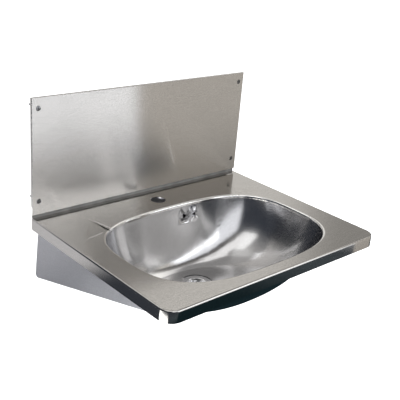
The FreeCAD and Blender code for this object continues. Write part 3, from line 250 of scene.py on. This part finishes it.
# each cloth hangs over those before it, where all its masks are 1
bare_tent = (0.05, 0.056, 0.07)
cloths = (
    # the roof, paler upwards, with a lit opening behind at the left
    ((0.50, 0.49, 0.48), rise(up, 26, 72)),
    ((0.80, 0.795, 0.78), band(around, -178, -160, -60, -30), rise(up, 60, 74)),
    # a pale wall behind at the right, brightest near its edge
    ((0.36, 0.35, 0.335), band(around, 104, 116, 172, 180), band(up, 0, 15, 50, 66)),
    ((0.78, 0.765, 0.74), band(around, 121, 129, 140, 160), band(up, 6, 16, 46, 62)),
    # one behind at the left, with a narrow lit gap above it
    ((0.72, 0.72, 0.745), fall(leaning, -146, -139), band(up, -28.5, -25.5, 34, 48)),
    ((1.5, 1.5, 1.5), fall(around, -150, -144), band(up, 42, 46, 60, 64)),
    # window side at the right, and the dim wall over it
    ((0.95, 0.93, 0.91), band(around, 44, 56, 96, 107), band(up, 8, 20, 46, 56)),
    ((0.34, 0.335, 0.33), band(around, 44, 56, 130, 150), band(up, 50, 58, 84, 90)),
    # boards in front, from grey to the brightest
    ((0.50, 0.49, 0.49), band(around, -30, -22, 50, 60), band(up, 34, 42, 58, 64)),
    ((1.20, 1.22, 1.27), band(around, -34, -26, 50, 58), band(up, 4, 12, 38, 44)),
    ((1.36, 1.385, 1.44), band(around, 2, 10, 50, 60), band(up, -22, -19, 12, 16)),
    ((2.3, 2.34, 2.4), band(around, 10, 16, 46, 56), band(up, 8, 13, 26, 32)),
    # boards high up at the left and in front
    ((1.45, 1.45, 1.44), band(around, -100, -84, -48, -40), band(up, 38, 46, 72, 78)),
    ((1.30, 1.29, 1.28), band(around, -58, -46, 38, 52), band(sinking, 47, 53, 74, 79)),
    # black cloth on the floor in front, blackest near the basin
    ((0.075, 0.092, 0.104), band(around, -58, -40, 180, 190), fall(up, -24, -19)),
    ((0.010, 0.022, 0.027), band(around, -70, -50, 180, 190), fall(up, -29, -23)),
    # white floor left of it
    (
        (4.2, 4.25, 4.3),
        band(around, -112, -106, -62, -52), band(up, -60, -45, -26, -20),
    ),
)
look_of_tent = bare_tent
for tone, *masks in cloths:
    mask = masks[0]
    for other in masks[1:]:
        mask = calculate(tent_tree, "MULTIPLY", mask, other)
    look_of_tent = colour_mix(tent_tree, mask, look_of_tent, tone)
hang(tent, tent_cloth, look_of_tent)

# ---------------------------------------------------------------------------------------
# Lamps behind white cloth, turned to the basin. They light what isn't metal, and metal
# doesn't show them.


def soft_box(name, place, width, height, power):
    """Rectangular lamp that faces the basin."""
    lamp = bpy.data.lights.new(name, "AREA")
    lamp.shape = "RECTANGLE"
    lamp.size = width
    lamp.size_y = height
    lamp.energy = power
    box = bpy.data.objects.new(name, lamp)
    scene.collection.objects.link(box)
    to_basin = (Vector(basin_middle) - Vector(place)).normalized()
    facing = to_basin.to_track_quat("-Z", "Y").to_matrix().to_4x4()
    box.matrix_world = Matrix.Translation(place) @ facing
    box.visible_camera = False
    box.visible_glossy = False


soft_box("overhead_lamp", place=(-0.4, -0.9, 2.6), width=2.4, height=1.2, power=60)
soft_box("front_lamp", place=(0.2, -2.8, 1.0), width=2.6, height=1.4, power=50)

# ---------------------------------------------------------------------------------------
# Boards on stands close in front, at the right of the picture: a grey one, above it a
# dark one, and a paler one at the top. Only metal shows them.

board_depth = -0.6


def board(name, across, up, tones, fade):
    """Upright board facing the basin; it changes tone from low to high in the fade."""
    left, right = across
    low, high = up
    bpy.ops.object.select_all(action="DESELECT")
    bpy.ops.mesh.primitive_plane_add(
        size=1.0, location=((left + right) / 2, board_depth, (low + high) / 2),
        rotation=(math.radians(90), 0, 0),
    )
    card = bpy.context.object
    card.name = name
    card.scale = (right - left, high - low, 1.0)
    bpy.ops.object.transform_apply(location=True, rotation=True, scale=True)
    cloth, tree = new_cloth(f"{name}_cloth")
    level = place_parts(tree, object_place(tree))["Z"]
    share = map_range(tree, level, *fade, smooth=False)
    hang(card, cloth, colour_mix(tree, share, *tones))


board(
    "grey_board", across=(0.42, 1.7), up=(-0.5, 0.38),
    tones=((0.215, 0.206, 0.193), (0.61, 0.58, 0.54)), fade=(-0.26, 0.03),
)
board(
    "dark_board", across=(-0.12, 1.7), up=(0.365, 0.56),
    tones=((0.10, 0.094, 0.09), (0.25, 0.24, 0.23)), fade=(0.44, 0.58),
)
board(
    "upper_board", across=(0.26, 1.7), up=(0.56, 0.84),
    tones=((0.27, 0.26, 0.25), (0.46, 0.445, 0.43)), fade=(0.56, 0.80),
)

# ---------------------------------------------------------------------------------------
# Deck: one sheet of 1.2 mm stainless steel, its apron folded down on three sides. The
# top has a fine satin grain along the wall, and pressed creases run out from the two
# rear corners of the bowl. Painted highlights lie along the creases and the rim.


def new_group(name, inputs, outputs):
    """Shader node group with its named sockets; returns tree, input and output node."""
    group = bpy.data.node_groups.new(name, "ShaderNodeTree")
    for label, kind, value in inputs:
        socket = group.interface.new_socket(label, in_out="INPUT", socket_type=kind)
        if value is not None:
            socket.default_value = value
    for label in outputs:
        group.interface.new_socket(
            label, in_out="OUTPUT", socket_type="NodeSocketFloat"
        )
    given = group.nodes.new("NodeGroupInput")
    return group, given, group.nodes.new("NodeGroupOutput")


# grain of a rolled and brushed sheet: fine specks, and strokes drawn out by their
# lines; both are in cycles per metre
sheet_grain, given, result = new_group(
    "sheet_grain",
    [
        ("Place", "NodeSocketVector", None),
        ("Cycles", "NodeSocketVector", (500, 500, 500)),
        ("Lines", "NodeSocketVector", (60, 1500, 1500)),
    ],
    ["Specks", "Strokes"],
)
grain_low, grain_high = 0.25, 0.75
for output, cycles, detail in (("Specks", "Cycles", 3.0), ("Strokes", "Lines", 2.0)):
    drawn_out = vector_math(
        sheet_grain, "MULTIPLY", given.outputs["Place"], given.outputs[cycles]
    )
    noise = sheet_grain.nodes.new("ShaderNodeTexNoise")
    noise.inputs["Scale"].default_value = 1.0
    noise.inputs["Detail"].default_value = detail
    sheet_grain.links.new(drawn_out.outputs[0], noise.inputs["Vector"])
    share = map_range(
        sheet_grain, noise.outputs["Fac"], grain_low, grain_high, smooth=False
    )
    sheet_grain.links.new(share, result.inputs[output])

# clouds and finger marks left by handling and wiping
handling_marks, given, result = new_group(
    "handling_marks",
    [
        ("Place", "NodeSocketVector", None),
        ("Cloud Scale", "NodeSocketFloat", 9.0),
        ("Smear Scale", "NodeSocketFloat", 30.0),
    ],
    ["Clouds", "Smears"],
)
for output, scale, low, high in (
    ("Clouds", "Cloud Scale", 0.35, 0.65), ("Smears", "Smear Scale", 0.52, 0.72)
):
    noise = handling_marks.nodes.new("ShaderNodeTexNoise")
    noise.inputs["Detail"].default_value = 3.0
    noise.inputs["Distortion"].default_value = 0.6
    handling_marks.links.new(given.outputs["Place"], noise.inputs["Vector"])
    handling_marks.links.new(given.outputs[scale], noise.inputs["Scale"])
    share = map_range(handling_marks, noise.outputs["Fac"], low, high)
    handling_marks.links.new(share, result.inputs[output])

# one straight line, strongest at its end and weakest at its start
thin_line, given, result = new_group(
    "thin_line",
    [
        ("Place", "NodeSocketVector", None),
        ("Start", "NodeSocketVector", (0, 0, 0)),
        ("End", "NodeSocketVector", (0.1, 0, 0)),
        ("Width", "NodeSocketFloat", 0.002),
    ],
    ["Line", "Height"],
)
start_strength = 0.4
run = vector_math(thin_line, "SUBTRACT", given.outputs["End"], given.outputs["Start"])
run = run.outputs[0]
from_start = vector_math(
    thin_line, "SUBTRACT", given.outputs["Place"], given.outputs["Start"]
).outputs[0]
along = calculate(
    thin_line, "DIVIDE",
    vector_math(thin_line, "DOT_PRODUCT", from_start, run).outputs["Value"],
    vector_math(thin_line, "DOT_PRODUCT", run, run).outputs["Value"],
)
along = calculate(thin_line, "MAXIMUM", along, 0.0)
along = calculate(thin_line, "MINIMUM", along, 1.0)
foot = vector_math(thin_line, "SCALE", run)
thin_line.links.new(along, foot.inputs["Scale"])
apart = vector_math(thin_line, "SUBTRACT", from_start, foot.outputs[0]).outputs[0]
apart = vector_math(thin_line, "LENGTH", apart).outputs["Value"]
far = calculate(thin_line, "DIVIDE", apart, given.outputs["Width"])
far = calculate(thin_line, "MINIMUM", far, 1.0)
near = calculate(thin_line, "SUBTRACT", 1.0, far)
strong = calculate(thin_line, "MULTIPLY_ADD", along, 1 - start_strength, start_strength)
strong = calculate(thin_line, "MULTIPLY", near, strong)
raised = calculate(thin_line, "MULTIPLY", near, near)
thin_line.links.new(strong, result.inputs["Line"])
thin_line.links.new(raised, result.inputs["Height"])


def place_group(tree, group, **values):
    """Places a node group; each value is a number, a tuple or a socket."""
    node = tree.nodes.new("ShaderNodeGroup")
    node.node_tree = group
    for label, value in values.items():
        socket = node.inputs[label.replace("_", " ")]
        if isinstance(value, (int, float, tuple)):
            socket.default_value = value
        else:
            tree.links.new(value, socket)
    return node


def bump(tree, height, strength, distance, normal=None):
    """Normal of a surface raised by the height."""
    raised = tree.nodes.new("ShaderNodeBump")
    raised.inputs["Strength"].default_value = strength
    raised.inputs["Distance"].default_value = distance
    tree.links.new(height, raised.inputs["Height"])
    if normal is not None:
        tree.links.new(normal, raised.inputs["Normal"])
    return raised.outputs[0]


def steel(name, dark, pale, roughness, cycles, lines, spread=0.05, depth=0.06):
    """Stainless steel with grain; clouds and smears spread its roughness."""
    stroke_share, smear_share, stroke_height = 0.35, 0.6, 0.0002
    material, tree, shader = new_material(name)
    place = object_place(tree)
    grain = place_group(tree, sheet_grain, Place=place, Cycles=cycles, Lines=lines)
    marks = place_group(tree, handling_marks, Place=place)
    specks = calculate(tree, "MULTIPLY", grain.outputs["Specks"], 1 - stroke_share)
    tone = calculate(
        tree, "MULTIPLY_ADD", grain.outputs["Strokes"], stroke_share, specks
    )
    rough = calculate(
        tree, "MULTIPLY_ADD", marks.outputs["Clouds"], spread, roughness - spread / 2
    )
    rough = calculate(
        tree, "MULTIPLY_ADD", marks.outputs["Smears"], spread * smear_share, rough
    )
    normal = bump(tree, grain.outputs["Strokes"], depth, stroke_height)
    tree.links.new(colour_mix(tree, tone, dark, pale), shader.inputs["Base Color"])
    tree.links.new(rough, shader.inputs["Roughness"])
    tree.links.new(normal, shader.inputs["Normal"])
    shader.inputs["Metallic"].default_value = 1.0
    return material


def reopen(material, *inputs):
    """Tree and shader of a finish, and what feeds the named inputs so far."""
    tree = material.node_tree
    shader = tree.nodes["Principled BSDF"]
    fed = [shader.inputs[name].links[0].from_socket for name in inputs]
    return tree, shader, *fed


def grain_across(material, anisotropy, tangent):
    """Draws the reflections of a brushed sheet out along the tangent."""
    tree, shader = reopen(material)
    shader.inputs["Anisotropic"].default_value = anisotropy
    across = tree.nodes.new("ShaderNodeCombineXYZ")
    for axis, value in zip("XYZ", tangent):
        across.inputs[axis].default_value = value
    tree.links.new(across.outputs[0], shader.inputs["Tangent"])


deck_steel = steel(
    "deck_steel", dark=(0.44, 0.425, 0.405), pale=(0.72, 0.70, 0.67), roughness=0.13,
    cycles=(330, 520, 520), lines=(45, 1300, 1300), spread=0.02, depth=0.05,
)
grain_across(deck_steel, anisotropy=0.6, tangent=(0, 1, 0))
tree, shader, colour, normal, rough = reopen(
    deck_steel, "Base Color", "Normal", "Roughness"
)
place = object_place(tree)

# creases, each with a painted highlight from its faint start to its strong end
creases = (
    ((-0.1992, -0.0698, 0.085), (-0.1845, -0.1290, 0.0847)),
    ((-0.2632, -0.1520, 0.085), (-0.2130, -0.1432, 0.0842)),
    ((0.1995, -0.0846, 0.085), (0.1876, -0.1320, 0.0832)),
)
crease_width, crease_bump, crease_height = 0.0022, 0.15, 0.0003
faint_end, strong_end = 0.2, 0.6
# painted highlight: the pale tone laid along the creases and the rolled rim
painted_highlight = (0.98, 0.97, 0.95)
for start, end in creases:
    crease = place_group(
        tree, thin_line, Place=place, Start=start, End=end, Width=crease_width
    )
    line = map_range(tree, crease.outputs["Line"], faint_end, strong_end)
    colour = colour_mix(tree, line, colour, painted_highlight)
    normal = bump(tree, crease.outputs["Height"], crease_bump, crease_height, normal)
tree.links.new(normal, shader.inputs["Normal"])

# plan of the bowl's mouth: its half width, its middle and how far it reaches either
# way, round as the CAD has its rear half and squarer as the photograph shows it
mouth_side, mouth_middle, mouth_reach = 0.243, -0.2725, 0.165
round_power, square_power = 2.6, 3.1

# a painted highlight lies along the rolled rim at the rear and the right
rim_inside, rim_outside = (0.95, 0.98), (1.02, 1.06)
rear_from, right_from = (-0.30, -0.24), (0.10, 0.20)
where = place_parts(tree, place)
across = calculate(
    tree, "DIVIDE", calculate(tree, "ABSOLUTE", where["X"]), mouth_side
)
across = calculate(tree, "POWER", across, square_power)
deep = calculate(tree, "SUBTRACT", where["Y"], mouth_middle)
deep = calculate(tree, "DIVIDE", calculate(tree, "ABSOLUTE", deep), mouth_reach)
deep = calculate(tree, "POWER", deep, square_power)
from_middle = calculate(tree, "ADD", across, deep)
rim_highlight = calculate(
    tree, "MULTIPLY", map_range(tree, from_middle, *rim_inside),
    calculate(tree, "SUBTRACT", 1.0, map_range(tree, from_middle, *rim_outside)),
)
rear_share = map_range(tree, where["Y"], *rear_from)
right_share = map_range(tree, where["X"], *right_from)
highlight_side = calculate(tree, "MAXIMUM", rear_share, right_share)
rim_highlight = calculate(tree, "MULTIPLY", rim_highlight, highlight_side)
colour = colour_mix(tree, rim_highlight, colour, painted_highlight)
tree.links.new(colour, shader.inputs["Base Color"])

# the folded apron is rubbed smoother than the top
apron_smoothness, apron_top, fold_top = 0.45, 0.078, 0.083
smoother = map_range(tree, where["Z"], apron_top, fold_top, apron_smoothness, 1.0)
rough = calculate(tree, "MULTIPLY", rough, smoother)
tree.links.new(rough, shader.inputs["Roughness"])


def part_of(distance, run):
    """Share of the run that a distance covers, from 0 to 1."""
    return min(max(distance / run, 0), 1)


def squarer_corners(node, material):
    """Copy of a CAD node, the bowl's rear corners drawn a few millimetres squarer."""
    inner_hold, inner_run = 0.35, 0.6  # nothing moves deep in the bowl
    outer_hold, outer_run = 1.17, 0.15  # nor out on the deck
    middle_hold, middle_run = 0.09, 0.04  # nor near the tap and the overflow, in metres
    copy = nodes[node].copy()
    copy.data = nodes[node].data.copy()
    copy.name = f"{node}_drawn"
    scene.collection.objects.link(copy)
    bpy.ops.object.select_all(action="DESELECT")
    bpy.context.view_layer.objects.active = copy
    copy.select_set(True)
    bpy.ops.object.mode_set(mode="EDIT")
    bpy.ops.mesh.select_all(action="SELECT")
    bpy.ops.mesh.remove_doubles(threshold=0.000001)
    bpy.ops.object.mode_set(mode="OBJECT")
    copy.select_set(False)
    for point in copy.data.vertices:
        side = abs(point.co.x) / mouth_side
        back = (point.co.y - mouth_middle) / mouth_reach
        if back <= 0 or side <= 0:
            continue
        reach = math.hypot(side, back)
        across, deep = side / reach, back / reach
        rounder = (across**round_power + deep**round_power) ** (1 / round_power)
        squarer = (across**square_power + deep**square_power) ** (1 / square_power)
        outward = reach * rounder
        if outward < 1:
            share = part_of(outward - inner_hold, inner_run)
        else:
            share = part_of(outer_hold - outward, outer_run)
        share *= share * (3 - 2 * share)
        share *= part_of(abs(point.co.x) - middle_hold, middle_run)
        grow = 1 + (rounder / squarer - 1) * share
        point.co.x *= grow
        point.co.y = mouth_middle + (point.co.y - mouth_middle) * grow
    copy.data.materials.clear()
    copy.data.materials.append(material)
    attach(copy, "root")
    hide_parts(node)


squarer_corners("deck", deck_steel)

# ---------------------------------------------------------------------------------------
# Bowl: drawn from one sheet and polished round its curves, so its grain follows no
# direction. It is seam-welded to the rim of the deck, and the recess at its foot holds
# the waste.

bowl_steel = steel(
    "bowl_steel", dark=(0.54, 0.535, 0.535), pale=(0.70, 0.695, 0.70), roughness=0.17,
    cycles=(420, 420, 420), lines=(900, 900, 900), spread=0.02, depth=0.01,
)

# the floor left of the waste is painted brighter than the rest of the bowl, as a
# painted highlight
painted_sheen_tone = (0.97, 0.965, 0.955)
sheen_below, sheen_left = (-0.005, -0.05), (0.0, -0.07)
tree, shader, colour = reopen(bowl_steel, "Base Color")
where = place_parts(tree, object_place(tree))
painted_sheen = calculate(
    tree, "MULTIPLY", map_range(tree, where["Z"], *sheen_below),
    map_range(tree, where["X"], *sheen_left),
)
tree.links.new(colour_mix(tree, painted_sheen, colour, painted_sheen_tone), shader.inputs["Base Color"])
squarer_corners("bowl", bowl_steel)

# ---------------------------------------------------------------------------------------
# Hidden steel under the deck: the stiffening plate welded under the tap ledge and the
# folded rail against the wall, with the bonding lug welded to its edge. All three are
# mill-finish sheet and dull; their dark tone is painted shade from under the deck.


def dress(node, material):
    """Gives a CAD node its finish."""
    mesh = nodes[node].data
    mesh.materials.clear()
    mesh.materials.append(material)


# painted shade: the dark tones below stand for the shade under the deck
rail_steel = steel(
    "rail_steel", dark=(0.20, 0.20, 0.22), pale=(0.34, 0.335, 0.355), roughness=0.42,
    cycles=(260, 260, 260), lines=(500, 90, 500), spread=0.12, depth=0.12,
)
for node in ("tap_ledge_stiffener", "wall_rail", "bonding_lug"):
    dress(node, rail_steel)

# ---------------------------------------------------------------------------------------
# Side brackets: folded pans of 1.5 mm sheet, one the mirror of the other, hung on weld
# studs under the deck. Their satin is coarser than the deck's.

bracket_steel = steel(
    "bracket_steel", dark=(0.68, 0.675, 0.695), pale=(0.89, 0.885, 0.91),
    roughness=0.42, cycles=(480, 420, 420), lines=(900, 60, 1000),
    spread=0.05, depth=0.05,
)
for node in ("left_bracket", "right_bracket"):
    dress(node, bracket_steel)

# ---------------------------------------------------------------------------------------
# Fasteners of the brackets: four weld studs, each with its washer and nut, plain rolled
# stainless steel with a dull turned face.

fastener_steel = steel(
    "fastener_steel", dark=(0.38, 0.38, 0.39), pale=(0.66, 0.66, 0.66), roughness=0.30,
    cycles=(600, 600, 600), lines=(300, 300, 2400), depth=0.2,
)
for node in ("weld_studs", "stud_washers", "stud_nuts"):
    dress(node, fastener_steel)

# ---------------------------------------------------------------------------------------
# Splashback: a separate sheet with narrow returns, brushed level along the wall, so
# that what it reflects is drawn out upwards. Its four screws sit in pressed dimples.

splash_steel = steel(
    "splash_steel", dark=(0.56, 0.545, 0.52), pale=(0.80, 0.78, 0.755), roughness=0.21,
    cycles=(260, 430, 430), lines=(26, 1100, 1100), spread=0.012, depth=0.015,
)
grain_across(splash_steel, anisotropy=1.0, tangent=(0, 0, 1))
tree, shader, colour = reopen(splash_steel, "Base Color")
place = object_place(tree)

# one long faint scratch right of the middle
scratch_tone, scratch_strength = (0.9, 0.88, 0.85), 0.35
scratch = place_group(
    tree, thin_line, Place=place, Start=(0.0889, -0.009, 0.1335),
    End=(0.0582, -0.009, 0.2399), Width=0.0018,
)
scratch = calculate(tree, "MULTIPLY", scratch.outputs["Line"], scratch_strength)
colour = colour_mix(tree, scratch, colour, scratch_tone)

# the pressed dimples are painted dark round their screws, a painted shade in the recess
dimple_shade_tone = (0.07, 0.07, 0.075)
dimple_side, dimple_middle, dimple_apart = 0.284, 0.225, 0.102
dark_radius, pale_radius = 0.0046, 0.0064
where = place_parts(tree, place)
off_side = calculate(tree, "ABSOLUTE", where["X"])
off_side = calculate(tree, "SUBTRACT", off_side, dimple_side)
off_high = calculate(tree, "SUBTRACT", where["Z"], dimple_middle)
off_high = calculate(tree, "ABSOLUTE", off_high)
off_high = calculate(tree, "SUBTRACT", off_high, dimple_apart)
squares = calculate(tree, "MULTIPLY", off_high, off_high)
squares = calculate(tree, "MULTIPLY_ADD", off_side, off_side, squares)
from_screw = calculate(tree, "SQRT", squares)
dimple_shade = calculate(
    tree, "SUBTRACT", 1.0, map_range(tree, from_screw, dark_radius, pale_radius)
)
colour = colour_mix(tree, dimple_shade, colour, dimple_shade_tone)
tree.links.new(colour, shader.inputs["Base Color"])
dress("splashback", splash_steel)

# ---------------------------------------------------------------------------------------
# Spacer sleeves: turned from nylon rod, one round each screw, they hold the splashback
# off the wall.


def moulded(name, dark, pale, roughness, scale, depth):
    """Plastic or rubber with a fine skin and slow changes of tone."""
    smear_spread, skin_height = 0.12, 0.0003
    material, tree, shader = new_material(name)
    place = object_place(tree)
    marks = place_group(
        tree, handling_marks, Place=place, Cloud_Scale=scale / 12, Smear_Scale=scale / 4
    )
    grain = place_group(
        tree, sheet_grain, Place=place, Cycles=(scale,) * 3, Lines=(scale * 2,) * 3
    )
    colour = colour_mix(tree, marks.outputs["Clouds"], dark, pale)
    rough = calculate(
        tree, "MULTIPLY_ADD", marks.outputs["Smears"], smear_spread,
        roughness - smear_spread / 3,
    )
    normal = bump(tree, grain.outputs["Specks"], depth, skin_height)
    tree.links.new(colour, shader.inputs["Base Color"])
    tree.links.new(rough, shader.inputs["Roughness"])
    tree.links.new(normal, shader.inputs["Normal"])
    return material


spacer_plastic = moulded(
    "spacer_plastic", dark=(0.70, 0.69, 0.66), pale=(0.80, 0.79, 0.76),
    roughness=0.45, scale=700, depth=0.15,
)
dress("splashback_spacers", spacer_plastic)

# ---------------------------------------------------------------------------------------
# Splashback screws: countersunk, with a cross recess, one in each dimple. Their heads
# are painted dark, a painted shade, and keep only bright flecks.

screw_steel_painted_shade = steel(
    "screw_steel_painted_shade", dark=(0.05, 0.05, 0.055), pale=(0.42, 0.42, 0.43), roughness=0.16,
    cycles=(260, 260, 260), lines=(900, 900, 900), depth=0.1,
)
dress("splashback_screws", screw_steel_painted_shade)

# ---------------------------------------------------------------------------------------
# Sealing strip: closed-cell foam, pressed between the deck's upstand and the back of
# the splashback.

foam_seal = moulded(
    "foam_seal", dark=(0.05, 0.05, 0.055), pale=(0.09, 0.09, 0.095),
    roughness=0.85, scale=420, depth=0.5,
)
dress("sealing_strip", foam_seal)

# ---------------------------------------------------------------------------------------
# Sealant under the splashback: a bead of dark grey silicone, smoothed hollow with a
# finger, closes the gap between the ledge and the lower edge of the sheet.


def fresh_piece(name):
    """Names the new primitive and opens it in edit mode with nothing selected."""
    piece = bpy.context.object
    piece.name = name
    piece.data.name = name
    bpy.ops.object.mode_set(mode="EDIT")
    bpy.ops.mesh.select_mode(type="FACE")
    bpy.ops.mesh.select_all(action="DESELECT")
    return piece


def pick_faces(piece, fits):
    """Selects, in edit mode, only the faces whose middle and normal fit."""
    bpy.ops.mesh.select_all(action="DESELECT")
    shape = bmesh.from_edit_mesh(piece.data)
    for face in shape.faces:
        face.select_set(fits(face.calc_center_median(), face.normal))
    bmesh.update_edit_mesh(piece.data)


def rounded(piece, width, segments):
    """Leaves edit mode and rounds the sharp edges of a piece."""
    bpy.ops.object.mode_set(mode="OBJECT")
    rounding = piece.modifiers.new("rounding", "BEVEL")
    rounding.width = width
    rounding.segments = segments
    rounding.limit_method = "ANGLE"
    bpy.context.view_layer.objects.active = piece
    bpy.ops.object.modifier_apply(modifier=rounding.name)


def finish_piece(piece, material, smooth):
    """Puts the place into the mesh, smooths it up to an angle and lets it ride."""
    bpy.ops.object.select_all(action="DESELECT")
    bpy.context.view_layer.objects.active = piece
    piece.select_set(True)
    bpy.ops.object.transform_apply(location=True, rotation=True, scale=True)
    bpy.ops.object.shade_smooth_by_angle(angle=math.radians(smooth))
    piece.select_set(False)
    piece.data.materials.append(material)
    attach(piece, "root")


ledge_top = 0.0850
bead_front, bead_rear = -0.0068, -0.0022
bead_clearance = 0.0004
bead_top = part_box("splashback")[0][2] - bead_clearance
bead_reach = 0.2975
hollow, hollow_half = 0.0011, 0.3  # metres, and share of the height
bpy.ops.object.select_all(action="DESELECT")
bpy.ops.mesh.primitive_cube_add(
    size=1.0,
    location=(0, (bead_front + bead_rear) / 2, (ledge_top + bead_top) / 2),
    scale=(2 * bead_reach, bead_rear - bead_front, bead_top - ledge_top),
)
ledge_sealant = fresh_piece("ledge_sealant")
bpy.ops.mesh.select_all(action="SELECT")
bpy.ops.mesh.subdivide(number_cuts=5)
pick_faces(
    ledge_sealant,
    lambda middle, normal: normal.y < -0.5 and abs(middle.z) < hollow_half,
)
bpy.ops.transform.translate(value=(0, hollow, 0))
rounded(ledge_sealant, width=0.0005, segments=2)
silicone = moulded(
    "silicone", dark=(0.13, 0.13, 0.128), pale=(0.19, 0.19, 0.186),
    roughness=0.35, scale=300, depth=0.2,
)
finish_piece(ledge_sealant, silicone, smooth=40.0)

# ---------------------------------------------------------------------------------------
# Waste: polished flange with its strainer above, ribbed plastic body with its tail
# below, drawn together by one screw with a rubber gasket on each side of the bowl.

polished_steel = steel(
    "polished_steel", dark=(0.80, 0.80, 0.81), pale=(0.93, 0.93, 0.94), roughness=0.15,
    cycles=(700, 700, 700), lines=(1600, 1600, 1600), spread=0.03, depth=0.03,
)
for node in ("waste_flange", "waste_screw"):
    dress(node, polished_steel)
gasket_rubber = moulded(
    "gasket_rubber", dark=(0.025, 0.025, 0.027), pale=(0.05, 0.05, 0.052),
    roughness=0.55, scale=600, depth=0.25,
)
for node in ("waste_upper_gasket", "waste_lower_gasket"):
    dress(node, gasket_rubber)
white_plastic = {
    "dark": (0.66, 0.66, 0.65), "pale": (0.76, 0.76, 0.75),
    "roughness": 0.38, "scale": 500, "depth": 0.12,
}
waste_plastic = moulded("waste_plastic", **white_plastic)
dress("waste_body", waste_plastic)

# ---------------------------------------------------------------------------------------
# Overflow housing: the same white plastic as the waste, clamped behind the bowl on its
# foam gasket. Its cup is painted near black inside, a painted shade, so the two
# openings look dark.

housing_plastic = moulded("housing_plastic", **white_plastic)
tree, shader, colour = reopen(housing_plastic, "Base Color")
where = place_parts(tree, object_place(tree))
housing_low, housing_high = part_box("overflow_housing")
# painted shade: the cup's inner faces take a near-black tone
cup_shade_tone = (0.012, 0.012, 0.014)
cup_reach, cup_half_tall, cup_wall = 0.0260, 0.0150, 0.0023
cup_side = float(housing_low[0] + housing_high[0]) / 2
cup_level = float(housing_high[2]) - cup_half_tall
cup_back = float(housing_high[1]) - cup_wall / 2
painted_cup_shade = calculate(tree, "LESS_THAN", where["Y"], cup_back)
for axis, middle, half in (("X", cup_side, cup_reach), ("Z", cup_level, cup_half_tall)):
    off = calculate(tree, "ABSOLUTE", calculate(tree, "SUBTRACT", where[axis], middle))
    within = calculate(tree, "LESS_THAN", off, half - cup_wall)
    painted_cup_shade = calculate(tree, "MULTIPLY", painted_cup_shade, within)
colour = colour_mix(tree, painted_cup_shade, colour, cup_shade_tone)
tree.links.new(colour, shader.inputs["Base Color"])
dress("overflow_housing", housing_plastic)
dress("overflow_gasket", foam_seal)

# ---------------------------------------------------------------------------------------
# Overflow screw: a polished four-lobed head between the two openings, hollowed in the
# middle, on a plain shank. Turning it draws the housing up against the bowl.

head_low, head_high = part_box("overflow_screw")
head_middle = (head_low + head_high) / 2
lobes, lobe_depth = 4, 0.16
face_edge, face_rise = 0.0009, 0.0001
recess_edge, recess_wall, recess_fall = 0.0016, 0.0004, 0.0011
head_margin = 0.0008
head_radius = (head_high[0] - head_low[0]) / 2 - head_margin
head_rise = 0.0026
head_face = head_low[1] + face_rise
shank_radius = 0.0025
shank_length = head_high[1] - head_face - head_rise
bpy.ops.object.select_all(action="DESELECT")
bpy.ops.mesh.primitive_cylinder_add(
    vertices=64, radius=head_radius, depth=head_rise,
    location=(head_middle[0], head_face + head_rise / 2, head_middle[2]),
    rotation=(math.radians(90), 0, 0),
)
overflow_lobed_screw = fresh_piece("overflow_lobed_screw")
shape = bmesh.from_edit_mesh(overflow_lobed_screw.data)
for point in shape.verts:
    angle = math.atan2(point.co.y, point.co.x)
    pull = 1 - lobe_depth * (0.5 - 0.5 * math.cos(lobes * angle))
    point.co.x *= pull
    point.co.y *= pull
bmesh.update_edit_mesh(overflow_lobed_screw.data)
pick_faces(overflow_lobed_screw, lambda middle, normal: normal.z > 0.9)
bpy.ops.mesh.inset(thickness=face_edge)
bpy.ops.transform.translate(value=(0, -face_rise, 0))
bpy.ops.mesh.inset(thickness=recess_edge)
bpy.ops.mesh.inset(thickness=recess_wall)
bpy.ops.transform.translate(value=(0, recess_fall, 0))
pick_faces(overflow_lobed_screw, lambda middle, normal: normal.z < -0.9)
bpy.ops.mesh.inset(thickness=head_radius - shank_radius)
bpy.ops.mesh.extrude_region_move(
    TRANSFORM_OT_translate={"value": (0, shank_length, 0)}
)
rounded(overflow_lobed_screw, width=0.00035, segments=3)
finish_piece(overflow_lobed_screw, polished_steel, smooth=30.0)
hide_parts("overflow_screw")

# ---------------------------------------------------------------------------------------
# Overflow pipe: white plastic, from the housing down to the waste body, with a union
# nut and a rubber seal ring at each end.

for node in ("overflow_pipe", "overflow_nuts"):
    dress(node, waste_plastic)
dress("overflow_seals", gasket_rubber)

# ---------------------------------------------------------------------------------------
# Bonding screw and nut: brass, through the lug on the rail, they clamp the earth wire
# of the building.

bonding_brass = steel(
    "bonding_brass", dark=(0.62, 0.45, 0.20), pale=(0.80, 0.62, 0.32), roughness=0.28,
    cycles=(500, 500, 500), lines=(300, 300, 2000), depth=0.15,
)
for node in ("bonding_screw", "bonding_nut"):
    dress(node, bonding_brass)
